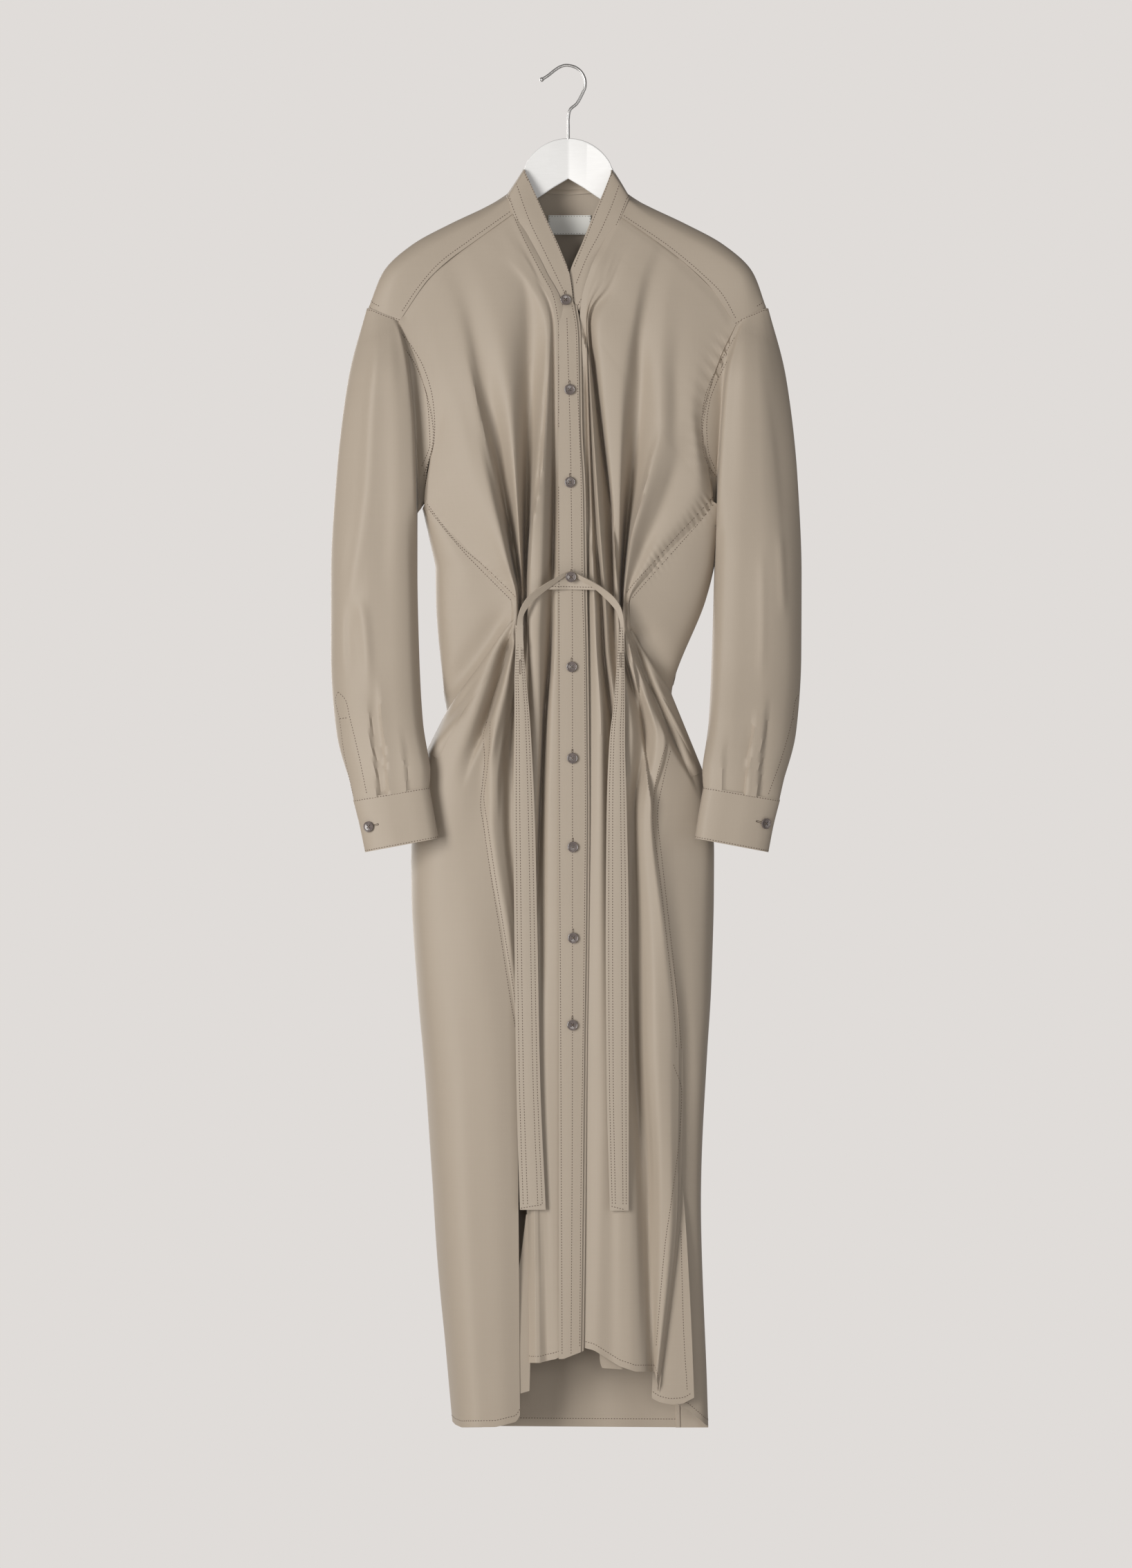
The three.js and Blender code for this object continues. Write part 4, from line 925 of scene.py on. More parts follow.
# The yoke, in lines from the neck to its outer edge, round from one front over the back to the other. Its
# seams with the fronts are written as the fronts' rows are.
YOKE_LEFT_SEAM = (
    (-276, -230, -209.5, -192, -174.8, -159), 0, (-182, -150, -128, -104, -80, -58),
    (14, 17, 18, 18, 18, 18),
)
YOKE_RIGHT_SEAM = (
    (-163, -178.5, -195.5, -214.5, -239.5, -280), 0, (59, 82, 106, 130, 156, 183),
    (18, 18, 18, 17, 16, 14),
)
YOKE = [
    front_nodes([YOKE_LEFT_SEAM])[0][::-1],
    [(-64, -11, -142), (-86, -13, -159), (-118, -14, -177), (-153, -14, -197), (-187, -13, -227),
     (-199, -10, -270)],
    [(-66, 0, -140), (-90, 0, -153), (-128, 0, -171), (-168, 0, -193), (-199, 0, -222), (-215, 0, -261)],
    [(-52, 12, -131), (-78, 12, -158), (-108, 13, -184), (-138, 14, -206), (-162, 15, -220),
     (-186, 15, BACK_TOP)],
    [(-30, 20, -133), (-42, 22, -158), (-56, 24, -184), (-70, 25, -208), (-82, 26, -228),
     (-95, 26, BACK_TOP)],
    [(1, 22, -135), (1, 24, -160), (1, 26, -184), (1, 27, -208), (1, 27, -230), (1, 27, BACK_TOP)],
    [(32, 20, -133), (44, 22, -158), (58, 24, -184), (72, 25, -208), (84, 26, -228), (97, 26, BACK_TOP)],
    [(54, 12, -131), (80, 12, -158), (110, 13, -184), (140, 14, -206), (164, 15, -220),
     (188, 15, BACK_TOP)],
    [(68, 0, -141), (92, 0, -153), (130, 0, -171), (170, 0, -193), (201, 0, -222), (216, 0, -261)],
    [(66, -11, -143), (88, -13, -160), (120, -14, -178), (155, -14, -198), (190, -13, -228),
     (201, -10, -271)],
    front_nodes([YOKE_RIGHT_SEAM])[0],
]
yoke = refine(YOKE, 3, 3)
make_cloth("yoke", yoke)

# The sleeves: rings of points, from the front of the inner edge over the outer edge and back.
ROUND = (
    (0, 0.35), (0.1, 0.85), (0.3, 1), (0.55, 1), (0.85, 0.7), (1, 0), (0.85, -0.7), (0.55, -1),
    (0.3, -1), (0.12, -0.85), (0.04, -0.6), (0, -0.3), (-0.01, -0.1), (-0.01, 0.08), (0, 0.22),
)
ARMHOLE = [
    (-182, -14, -276), (-187, -13, -273), (-194, -12, -270), (-202, -10, -267), (-211, -6, -263),
    (-217, 0, -262), (-208, 9, -262), (-196, 14, -261), (-185, 16, -262), (-164, 19, -320),
    (-146, 21, -397), (-153, 0, -472), (-152, -14, -440), (-144, -21, -397), (-160, -18, -325),
]
UPPER_ARM = [
    (-171, -26, -340), (-180, -31, -342), (-191, -34, -342), (-206, -31, -340), (-223, -20, -338),
    (-237, 0, -338), (-222, 18, -340), (-203, 26, -345), (-187, 28, -352), (-172, 27, -388),
    (-160, 22, -440), (-158, 4, -479), (-159, -8, -458), (-161, -14, -428), (-167, -17, -375),
]
UNDER_ARM = [
    (-164, -26, -445), (-175, -33, -446), (-190, -36, -446), (-210, -33, -445), (-232, -21, -444),
    (-250, 0, -444), (-235, 18, -445), (-212, 27, -448), (-192, 28, -452), (-176, 25, -465),
    (-168, 18, -480), (-163, 7, -489), (-162, -1, -484), (-162, -8, -476), (-163, -16, -460),
]
# Lower rings: inner edge, outer edge, half the depth, how far ahead of the hanger the middle is.
FOREARM = [
    ((-163, -550), (-256, -550), 32, 4), ((-161, -640), (-256, -640), 30, 13),
    ((-157, -711), (-250, -722), 28, 30), ((-149, -763), (-236, -774), 19, 45),
    ((-150, -782.5), (-231, -796.5), 13.2, 49.5),
]
CUFF = [
    ((-150, -781), (-232, -795), 13.8, 49.5), ((-145, -809), (-225, -823), 14.2, 50.5),
    ((-140, -837), (-219, -852), 14.8, 51.5),
]
MIRROR_SHIFT = (3, 2, 0, -4, -5, -4, -2, -2)
CUFF_SHIFT = (-2, -2, -1)
SHIFT_REACH = 400  # mm across over which a shift doubles
RING_LAP = 3  # how many points of a ring are repeated at each end
SLEEVE_SPACING = (2.2, 3)
CUFF_SPACING = (2.6, 4)


def ring(inner, outer, half, ahead):
    """One ring of a sleeve or a cuff, between its inner and its outer edge."""
    (x0, z0), (x1, z1) = inner, outer
    return [(x0 + (x1 - x0) * t, -ahead - depth * half, z0 + (z1 - z0) * t) for t, depth in ROUND]


def mirrored(rings, shifts):
    return [[(shift * (1 + x / SHIFT_REACH) - x, y, z) for x, y, z in row]
            for row, shift in zip(rings, shifts)]


def refine_rings(rings, around, down):
    """Refines closed rings. Each is unrolled, with its other end repeated at both ends so that it joins
    smoothly."""
    unrolled = [[*row[-RING_LAP:], *row, *row[:RING_LAP]] for row in rings]
    wide = np.swapaxes(np.array(unrolled, float), 0, 1)
    lengths = [np.linalg.norm(wide[i + 1] - wide[i], axis=-1).mean() for i in range(len(wide) - 1)]
    counts = [max(1, round(length / around)) for length in lengths]
    smooth = smooth_rows(wide, around)
    first, once_round = sum(counts[:RING_LAP]), sum(counts[RING_LAP:-RING_LAP + 1])
    turned = smooth[first:first + once_round]
    return smooth_rows(np.swapaxes(turned, 0, 1), down)


sleeve_rings = [ARMHOLE, UPPER_ARM, UNDER_ARM] + [ring(*row) for row in FOREARM]
cuff_rings = [ring(*row) for row in CUFF]
left_sleeve = refine_rings(sleeve_rings, *SLEEVE_SPACING)
right_sleeve = refine_rings(mirrored(sleeve_rings, MIRROR_SHIFT), *SLEEVE_SPACING)


def ahead_of_middle(sheet):
    """1 on the front of a sleeve, easing to 0 towards its middle."""
    middle = sheet[..., 1].mean(axis=1, keepdims=True)
    return ease((middle - sheet[..., 1]) / 10)


LEFT_SLEEVE_FOLDS = [
    (swell, (2.6, 6, 9), {},
     [(548, 463), (543, 513), (535, 587), (529, 698), (520, 777), (508, 851), (502, 898)]),
    (swell, (-1.6, 10), {"start": 0.3, "end": 0.3}, [(566, 500), (560, 700), (552, 880)]),
    (swell, (-2, 4, 7), {"start": 0.3, "end": 0.4}, [(507, 865), (504, 920), (508, 990)]),
    (swell, (2.4, 5, 6), {"start": 0.2, "end": 0.5}, [(513, 862), (522, 880), (530, 940), (533, 1010)]),
    (crease, (5.6, 8, 6), {"start": 0.4}, [(534, 1000), (537, 1060), (544, 1110), (548, 1150)]),
    (crease, (-5.6, 7, 8), {"start": 0.4}, [(543, 973), (550, 1045), (557, 1100), (560, 1147)]),
    (crease, (3.6, 8, 6), {"start": 0.6}, [(576, 1040), (585, 1090), (590, 1143)]),
    (crease, (10, 16, 9), {"start": 0.15, "sharp": 1.2},
     [(562, 452), (576, 470), (586, 504), (594, 556), (599, 609), (601, 670), (603, 740)]),
]
RIGHT_SLEEVE_FOLDS = [
    (crease, (-10, 9, 16), {"start": 0.15, "sharp": 1.2},
     [(1085, 455), (1070, 474), (1061, 502), (1051, 540), (1044, 609), (1039, 693), (1036, 760)]),
    (crease, (2.4, 12, 9), {"start": 0.4, "end": 0.3, "sharp": 5},
     [(1100, 500), (1113, 587), (1124, 675), (1131, 763), (1136, 851), (1137, 940)]),
    (swell, (1.4, 4), {"start": 0.3, "end": 0.3}, [(1128, 760), (1131, 830), (1134, 900)]),
    (swell, (1.2, 4), {"start": 0.3, "end": 0.3}, [(1101, 777), (1103, 900), (1100, 1000)]),
    (crease, (-6, 7, 8), {"start": 0.4}, [(1093, 1020), (1087, 1070), (1081, 1110), (1078, 1146)]),
    (crease, (5.6, 8, 6), {"start": 0.4}, [(1111, 995), (1106, 1060), (1100, 1110), (1097, 1149)]),
    (crease, (3.2, 6, 8), {"start": 0.6}, [(1052, 1050), (1047, 1100), (1046, 1143)]),
]
fold_all(left_sleeve, LEFT_SLEEVE_FOLDS, ahead_of_middle(left_sleeve))
fold_all(right_sleeve, RIGHT_SLEEVE_FOLDS, ahead_of_middle(right_sleeve))


TURN_DEPTHS, TURN_REACHES = (-2, 10), (5, 14)
SLEEVE_DROP = 5


def under_yoke(sheet):
    """How far each point of a sleeve's top runs on: further behind, where the back's edge is straight."""
    return np.interp(sheet[0, :, 1:2], TURN_DEPTHS, TURN_REACHES)


for name, sheet, side in (("sleeve_left", left_sleeve, -1), ("sleeve_right", right_sleeve, 1)):
    under = run_under(sheet, "top", under_yoke(sheet), SLEEVE_DROP, side, closed=True)
    make_cloth(name, under, side=side, closed=True)

# Small gussets close the back between its edge and the sleeve, under each arm: from the back's edge outward.
GUSSET_EDGE = [(147, 19.5, -380), (141, 21, -397), (134, 22.5, -440), (132, 23, -486)]
GUSSET_ENDS = {
    -1: [(-148, 18.5, -380), (-149, 17.5, -397), (-157, 7, -440), (-152, 4, -484)],
    1: [(152, 19.5, -380), (156, 19, -397), (167, 15, -440), (160, 12, -484)],
}
for name, way in (("gusset_left", -1), ("gusset_right", 1)):
    net = []
    for (x, y, z), end in zip(GUSSET_EDGE, GUSSET_ENDS[way]):
        net.append([(way * x, y, z), ((way * x + end[0]) / 2, (y + end[1]) / 2, z), end])
    make_cloth(name, refine(net, 3, 4), side=-way, nodes=("back",))

left_cuff = refine_rings(cuff_rings, *CUFF_SPACING)
right_cuff = refine_rings(mirrored(cuff_rings, CUFF_SHIFT), *CUFF_SPACING)
make_cloth("cuff_left", left_cuff, side=-1, closed=True, thick=DOUBLED)
make_cloth("cuff_right", right_cuff, closed=True, thick=DOUBLED)

# The neck band, in lines from its free edge to its seam, from the lap round the neck and back under the lap.
BAND = [
    [(7, -27, -257), (-3, -27.5, -257.5), (-13, -27, -257.5)],
    [(3, -26, -226), (-10, -26.5, -231), (-22, -26, -235)],
    [(-6, -25, -201), (-20, -25.5, -207), (-34, -24, -213)],
    [(-20, -23, -170), (-33, -23.5, -178), (-47, -21, -185)],
    [(-32, -19, -143), (-45, -19.5, -150), (-59, -18, -158)],
    [(-46, -12, -112), (-55.5, -12.5, -126.5), (-65, -11.5, -142)],
    [(-46.5, 1, -110), (-56, 1, -125), (-66, 0, -140)],
    [(-38, 13, -108), (-45.5, 14, -118.5), (-52, 14, -131)],
    [(-20, 18, -106), (-25, 20, -119), (-29, 20, -132)],
    [(1, 20, -107), (1, 22, -120), (1, 23, -134)],
    [(22, 18, -106), (27, 20, -119), (31, 20, -132)],
    [(40, 13, -108), (47.5, 14, -118.5), (54, 14, -131)],
    [(49, 1, -110), (58.5, 1, -125), (68, 0, -141)],
    [(48.5, -12, -113), (58, -12.5, -127), (67.5, -11.5, -142)],
    [(40, -17, -135), (49, -18, -148), (59, -18, -162)],
    [(28, -20, -162), (36, -21, -178), (45, -21, -193)],
    [(16, -22, -192), (24, -22.5, -206), (32, -23, -220)],
    [(5, -22.5, -217), (13, -23.5, -231), (20, -25, -246)],
    [(-2, -23, -240), (5, -24, -250), (13, -25.5, -264)],
]
band = refine(BAND, 2.4, 2.4)
make_cloth("neck_band", run_under(band, "right", reach=5, drop=1.8), thick=DOUBLED)

# The plackets: z, the edges across, and out.
PLACKET_ROUND = 0.6  # how much further out the middle stands
PLACKET = [
    (-258.5, (-9, 8), 28), (-290, (-9, 12), 32), (-400, (-9, 14), 34), (-455, (-9, 17), 36),
    (-584, (-9, 19), 39.5), (-632, (-9, 20), 41.5), (-721, (-9, 21), 43.5), (-812, (-9, 21.5), 45.5),
    (-945, (-9, 20.5), 47.5), (-1045, (-9, 19), 48), (-1243, (-9, 17), 49.5), (-1402, (-9, 15), 51),
]


def placket_nodes(inward, shift):
    net = []
    for z, (a, b), out in PLACKET:
        y = inward - out
        net.append([(a + shift, y, z), ((a + b) / 2 + shift, y - PLACKET_ROUND, z), (b + shift, y, z)])
    return net


PLACKET_SPACING = (3, 5)
PLACKET_HEM = [(805, 1966), (815, 1966), (839, 1956.6), (845, 1954)]
top_placket = refine(placket_nodes(inward=0, shift=0), *PLACKET_SPACING)
under_placket = refine(placket_nodes(inward=2, shift=3), *PLACKET_SPACING)
for sheet in (top_placket, under_placket):
    hem_to(sheet, PLACKET_HEM, 30)
make_cloth("placket_top", run_under(top_placket, "top", reach=12, drop=3.4), thick=PLACKET_THICK)
make_cloth("placket_under", run_under(under_placket, "top", reach=10, drop=3), thick=UNDER_PLACKET_THICK)

# The belt. It is buttoned flat to the placket, turned on edge in an arc on each side, and hangs in two
# tails. Points in pixels with how far out they stand: the flat stretch from its top edge to its lower edge,
# and the arc from its outer edge to its inner one.
BELT_SPACING = (1.6, 2.5)
BELT_FLAT = [
    ((790, 849, 46.2), (791, 852.5, 46)), ((797, 843, 46), (797, 853, 45.8)),
    ((808, 836, 44.4), (808, 853, 44.2)), ((823, 829, 42.6), (823, 853, 42)),
    ((838, 834.5, 43.4), (838, 853, 43.4)), ((852, 841, 45.6), (853, 853.5, 45.6)),
    ((868, 850, 47), (868, 854, 47)),
]
BELT_ARC = [
    ((746, 938, 50.2), (757.5, 938, 50.4)), ((747, 909, 51), (756.2, 911, 50.4)),
    ((750.5, 888, 52), (756.5, 895, 50)), ((760, 868.5, 53), (765, 877, 49.6)),
    ((774, 855, 53.4), (779, 863, 48.6)), ((790, 844.5, 52), (793, 852, 47.4)),
    ((805, 836, 49), (807.5, 841, 46)), ((817, 829.5, 46.6), (818.5, 833.5, 44.8)),
    ((823, 827, 46), (823.3, 830.5, 44.6)), ((830, 828.6, 46.6), (828.5, 833, 44.8)),
    ((843, 835, 49), (840, 840, 46)), ((861, 844.5, 52), (857, 850, 47.4)),
    ((877, 855, 53.6), (870.5, 861.5, 48.8)), ((891, 868, 53.4), (883.5, 874.5, 49.6)),
    ((899.5, 884, 52.4), (893, 888, 50)), ((902.6, 905, 51.2), (897, 908, 50.4)),
    ((903.3, 938, 50.4), (896, 938, 50.6)),
]


def strap(rows, across, down):
    """A sheet from rows of pixels, each with how far out it stands."""
    net = [[(*photo_point(px, py), out) for px, py, out in row] for row in rows]
    return refine(net, across, down)[..., (0, 2, 1)] * (1, -1, 1)


def joined_sheets(strips, thick, side):
    """Several strips of cloth as the points and faces of one piece."""
    points, faces = [], []
    for sheet in strips:
        made, quads = two_layers(sheet, thick, side)
        start = len(points)
        points += made.tolist()
        faces += [tuple(i + start for i in quad) for quad in quads]
    return points, faces


flat_belt = seen(swept(strap(BELT_FLAT, *BELT_SPACING)))
belt_arc = seen(swept(strap(BELT_ARC, *BELT_SPACING)))
skins["belt_flat"] = skin_of(flat_belt)
bar_points, bar_faces = joined_sheets((flat_belt, belt_arc), BELT_BAR_THICK, -1)
belt_bar = mesh_piece("belt_bar", bar_points, bar_faces, COTTON_BELT, ("belt_bar",))
cut["belt_bar"] = (belt_bar, [flat_belt, belt_arc], False)
TAIL_ROUND = 0.8
LEFT_TAIL = [
    (-606, (-56, -47.2), 49.8), (-630, (-55.8, -47), 49.6), (-666, (-57, -44), 50), (-710, (-57, -40), 50),
    (-812, (-58, -35), 50), (-945, (-57, -32), 50), (-1100, (-55, -29), 51), (-1240, (-51, -23), 52),
]
RIGHT_TAIL = [
    (-606, (57.8, 62), 50), (-628, (55.6, 62.3), 50.4), (-689, (51, 63), 51), (-732, (46, 63), 51),
    (-812, (43, 65), 52), (-945, (42, 67), 53), (-1100, (43, 67), 54), (-1241, (46.5, 67), 55),
]


def tail(rows):
    net = []
    for z, (a, b), out in rows:
        net.append([(a, -out, z), ((a + b) / 2, -out - TAIL_ROUND, z), (b, -out, z)])
    return refine(net, 3, 5)


make_cloth("belt_tail_left", tail(LEFT_TAIL), thick=BELT_THICK, material=COTTON_BELT)
make_cloth("belt_tail_right", tail(RIGHT_TAIL), thick=BELT_THICK, material=COTTON_BELT)

# The flap at the right slit
VENT = [
    [(113, -34.5, -1205), (119, -34.5, -1204), (125, -33.8, -1203)],
    [(101, -33, -1290), (115, -35.5, -1290), (131, -35.5, -1290)],
    [(94, -31.5, -1390), (114, -34, -1392), (136, -34.5, -1390)],
    [(92, -30.5, -1444), (114, -33.5, -1450), (138, -33.5, -1445)],
]
VENT_HEM = [(938, 2014), (942, 2022), (952, 2028), (970, 2032), (987, 2031), (1004, 2022), (1006, 2020)]
vent = refine(VENT, 3, 5)
hem_to(vent, VENT_HEM, 30)
make_cloth("vent_flap_right", vent)

# The turned edge inside the left slit, and the lap under the right front's hem: px, py and out.
SLIT_LEFT = [
    ((761, 1757, 36), (769, 1757, 36)), ((755, 1806, 38), (769, 1806, 37)),
    ((748, 1859, 41), (768, 1859, 39)), ((745, 1960, 44), (767, 1960, 42)),
    ((742, 2019, 44), (765.7, 2012, 42)),
]
LAP_RIGHT = [
    ((866, 1930, 42), (905, 1930, 42)), ((868, 1971, 43), (900, 1971, 42)),
    ((871, 1979, 43), (900, 1981, 42)),
]
SIGHT_STEP = 4.5  # mm between the stations of a fold that is laid on the cloth
FOLD_ACROSS = (0.6, 0, 0, 0.8, 2, 4, 6.5, 9, 12, 15)  # mm from its edge, and how far it stands off there
FOLD_LIFTS = (0.4, 1.4, 3.0, 4.2, 4.7, 4.4, 3.2, 1.8, 0.5, -0.8)
FOLD_SIZE, FOLD_GROWTH = 0.25, 2.2  # its size at the belt's end, and how fast it grows from there
FOLD_TAPER, FOLD_SUNK = 5, 1.5  # how fast it ends, and how deep its end lies in the cloth


def fold_over(name, line, names):
    """A fold of cloth laid over the pieces beneath: its edge is a traced line, and from there it goes down,
    standing off them, until it meets them again."""
    edge = traced(line, SIGHT_STEP)
    along = np.gradient(edge, axis=0)
    along /= np.linalg.norm(along, axis=1, keepdims=True)
    downward = np.stack([along[:, 1], -along[:, 0]], axis=1)
    downward *= np.where(downward[:, 1:] > 0, -1, 1)
    rows = []
    for i, (place, way) in enumerate(zip(edge, downward)):
        share = i / (len(edge) - 1)
        size, taper = min(1, FOLD_SIZE + FOLD_GROWTH * share), min(1, FOLD_TAPER * (1 - share))
        row, last = [], None
        for u, lift in zip(FOLD_ACROSS, FOLD_LIFTS):
            hit = touch(*(place + way * u * size), names)
            last = hit[0] if hit else last
            if last is not None:
                row.append((last.x, last.y - lift * size * taper + FOLD_SUNK * (1 - taper), last.z))
        if len(row) == len(FOLD_ACROSS):
            rows.append(row)
    sheet = smooth_rows(np.swapaxes(np.array(rows), 0, 1), 1.2).swapaxes(0, 1)
    sheet = evened(sheet, 1.5, 2, only_out=True)
    points, faces = two_layers(sheet, CLOTH, 1 if line[-1][0] > line[0][0] else -1)
    cut[name] = (mesh_piece(name, points, faces, COTTON), [sheet], False)


for name, net in (("slit_edge_left", SLIT_LEFT), ("lap_right", LAP_RIGHT)):
    sheet = seen(swept(strap(net, 2, 4)))
    skins[name] = skin_of(sheet)
    cut[name] = (mesh_piece(name, *two_layers(sheet, CLOTH, -1), COTTON), [sheet], False)
LEFT_PULL_END = (602, 1120)
fold_over("fold_left", [*LEFT_PULL, LEFT_PULL_END], ("front_left", "side_left"))
fold_over("fold_right", RIGHT_PULL, ("front_right", "side_right"))


# Stitches

STITCH = 2.1  # mm of thread that shows, and then the gap to the next stitch
STITCH_GAP = 0.9
FINE_STEP = 2.0  # mm between the points that stitches are spaced along
THREAD_WIDE = 0.55  # half the thread's width
THREAD_HIGH = 0.32
THREAD_BASE = 0.05  # how far its ends and sides stand off the cloth
sewn = {}  # the stitches of each piece of cloth: where each begins and ends, and which way is out


def walk(line):
    """How far along a line of points each of them is."""
    return np.concatenate([[0], np.cumsum(np.linalg.norm(np.diff(line, axis=0), axis=-1))])


def at_stops(stops, walked, values):
    return np.stack([np.interp(stops, walked, column) for column in values.T], axis=-1)


def sew(owner, line, names=()):
    """A row of stitches on a line traced in pixels, on whichever of the named skins is nearest."""
    fine = traced(line, FINE_STEP)
    walked = walk(fine)
    places = at_stops(np.arange(0, walked[-1], STITCH + STITCH_GAP), walked, fine)
    hits = [touch(x, z, names or (owner,)) for x, z in places]
    for a, b in zip(hits, hits[1:]):
        if a and b and (b[0] - a[0]).length < 2.5 * (STITCH + STITCH_GAP):
            end = a[0].lerp(b[0], STITCH / (STITCH + STITCH_GAP))
            sewn.setdefault(owner, []).append((a[0], end, a[1]))


def sew_rows(rows):
    """Each row of stitches: the piece it is part of, the skins it may lie on if not only there, its line."""
    for owner, names, line in rows:
        sew(owner, line, names)


def sew_along(owner, places, outs):
    """A row of stitches on a line of places in space, with the way out at each."""
    walked = walk(places)
    stops = np.arange(0, walked[-1], STITCH + STITCH_GAP)
    starts, ends = at_stops(stops, walked, places), at_stops(stops + STITCH, walked, places)
    ways = at_stops(stops, walked, outs)
    made = [tuple(map(Vector, stitch)) for stitch in zip(starts, ends, ways)]
    sewn.setdefault(owner, []).extend(made)


def sew_edge(owner, sheet, side, edge, inset, begin=0.0, end=1.0, closed=False, inside=False):
    """A row of stitches inset mm from an edge of a sheet, on its outer or its inner face."""
    placed = seen(swept(sheet))
    outs = -sheet_normals(placed, closed) * side
    if inside:
        placed, outs = placed - outs * CLOTH, -outs
    if edge in ("left", "right"):
        placed, outs = np.swapaxes(placed, 0, 1), np.swapaxes(outs, 0, 1)
    if edge in ("right", "bottom"):
        placed, outs = placed[::-1], outs[::-1]
    depth = np.cumsum(np.linalg.norm(np.diff(placed[:40], axis=0), axis=-1), axis=0)
    row = np.argmax(depth > inset, axis=0)
    columns = np.arange(placed.shape[1])
    before = np.where(row > 0, depth[np.maximum(row - 1, 0), columns], 0)
    t = ((inset - before) / np.maximum(depth[row, columns] - before, 1e-6))[:, None]
    line = placed[row, columns] * (1 - t) + placed[row + 1, columns] * t
    first, last = int(begin * (len(line) - 1)), int(end * (len(line) - 1)) + 1
    line, ways = line[first:last], outs[row, columns][first:last]
    if closed:
        line, ways = np.concatenate([line, line[:1]]), np.concatenate([ways, ways[:1]])
    sew_along(owner, line, ways)


def stitches_piece(name, rows, material):
    points, faces = [], []
    for start, end, out in rows:
        middle = (start + end) / 2
        side = out.cross(end - start).normalized() * THREAD_WIDE
        lift = out * THREAD_HIGH
        base = out * THREAD_BASE
        n = len(points)
        points += [start + base, end + base, middle + side + base, middle - side + base, middle + lift]
        faces += [(n, n + 2, n + 4), (n, n + 4, n + 3), (n + 1, n + 4, n + 2), (n + 1, n + 3, n + 4),
                  (n, n + 3, n + 2), (n + 1, n + 2, n + 3)]
    return mesh_piece(name, points, faces, material, flat=True)


LEFT_SEAM, RIGHT_SEAM = ("front_left", "side_left"), ("front_right", "side_right")
LEFT_ARMHOLE, RIGHT_ARMHOLE = ("front_left", "sleeve_left"), ("front_right", "sleeve_right")
FRONT_SEAMS = [
    ("front_left", ("front_left", "neck_band", "placket_top"),
     [(742, 310), (757, 344), (781, 391), (800, 427), (805, 450), (808, 480), (808, 620)]),
    ("front_left", LEFT_ARMHOLE,
     [(613, 689), (617, 675), (627, 645), (629, 616), (626, 578), (615, 537), (598, 505), (577, 478)]),
    ("front_left", LEFT_ARMHOLE,
     [(610, 675), (622, 642), (621, 616), (618, 578), (604, 534), (582, 499)]),
    ("front_left", LEFT_SEAM,
     [(618, 729), (636, 754), (665, 789), (700, 819), (728, 846), (750, 868)]),
    ("side_left", LEFT_SEAM,
     [(620, 736), (648, 772), (672, 800), (700, 829), (722, 851), (742, 871)]),
    ("side_left", LEFT_SEAM,
     [(704, 1044), (699, 1068), (701, 1099), (697, 1142), (695, 1164), (700, 1198), (709, 1260),
      (722, 1340), (739, 1450), (746, 1490)]),
    ("front_left", LEFT_SEAM,
     [(709, 1044), (708, 1077), (704, 1120), (700, 1153), (706, 1198), (715, 1260), (728, 1340),
      (744, 1440), (748, 1478)]),
    ("front_right", RIGHT_ARMHOLE,
     [(1040, 694), (1026, 676), (1017, 650), (1015, 612), (1019, 578), (1030, 547), (1046, 516),
      (1064, 486)]),
    ("front_right", RIGHT_ARMHOLE,
     [(1036, 682), (1025, 655), (1022, 618), (1026, 583), (1037, 552), (1052, 522)]),
    ("front_right", RIGHT_SEAM,
     [(1034, 716), (1009, 744), (976, 779), (944, 815), (918, 843), (899, 866)]),
    ("side_right", RIGHT_SEAM,
     [(1034, 727), (1013, 754), (981, 790), (950, 825), (925, 853), (905, 876)]),
    ("front_right", RIGHT_SEAM,
     [(964, 1077), (955, 1105), (947, 1142), (944, 1185), (951, 1240), (961, 1330), (972, 1430),
      (979, 1520)]),
    ("side_right", RIGHT_SEAM,
     [(970, 1086), (959, 1131), (951, 1179), (957, 1240), (967, 1330), (978, 1430), (986, 1520)]),
]
YOKE_SEAMS = [
    ("yoke", ("yoke", "front_left"), [(741, 304), (679, 348), (635, 381), (606, 414), (580, 453)]),
    ("yoke", ("yoke", "front_right"), [(902, 312), (971, 359), (1015, 396), (1044, 425), (1066, 464)]),
]
EDGE_INSET = 1.6  # mm from an edge to the row of stitches along it
YOKE_INSET = 8  # of the second row, which starts at each armhole
HEM_INSET = 7
BACK_HEM_INSET = 9
sew_rows(FRONT_SEAMS)
sew_rows(YOKE_SEAMS)
sew_edge("yoke", yoke, 1, "right", EDGE_INSET)
for begin, end in ((0.08, 0.2), (0.8, 0.92)):
    sew_edge("yoke", yoke, 1, "right", YOKE_INSET, begin, end)
for inside in (False, True):
    sew_edge("back", back, -1, "bottom", BACK_HEM_INSET, inside=inside)

BAND_ROWS = [
    ("neck_band", (), [(744, 258), (766, 320), (786, 361), (814, 419), (828, 452)]),
    ("neck_band", (), [(898, 261), (885, 297), (867, 338), (850, 370), (832, 414)]),
    ("neck_band", (), [(757, 244), (777, 289), (794, 328), (812, 368), (825, 402), (830, 434)]),
    ("neck_band", (), [(886, 246), (874, 280), (859, 316), (843, 356), (829, 390)]),
    ("neck_band", (), [(736, 283), (745, 309), (761, 344), (785, 391), (804, 427), (809, 450)]),
    ("neck_band", (), [(908, 283), (896, 315), (876, 357), (859, 392), (845, 424), (834, 446)]),
]
BAND_INSET = 1.8
BAND_BEHIND = (0.3, 0.7)  # the stretch of its edges round the back of the neck, as shares
sew_rows(BAND_ROWS)
sew_edge("neck_band", band, 1, "left", EDGE_INSET, *BAND_BEHIND)
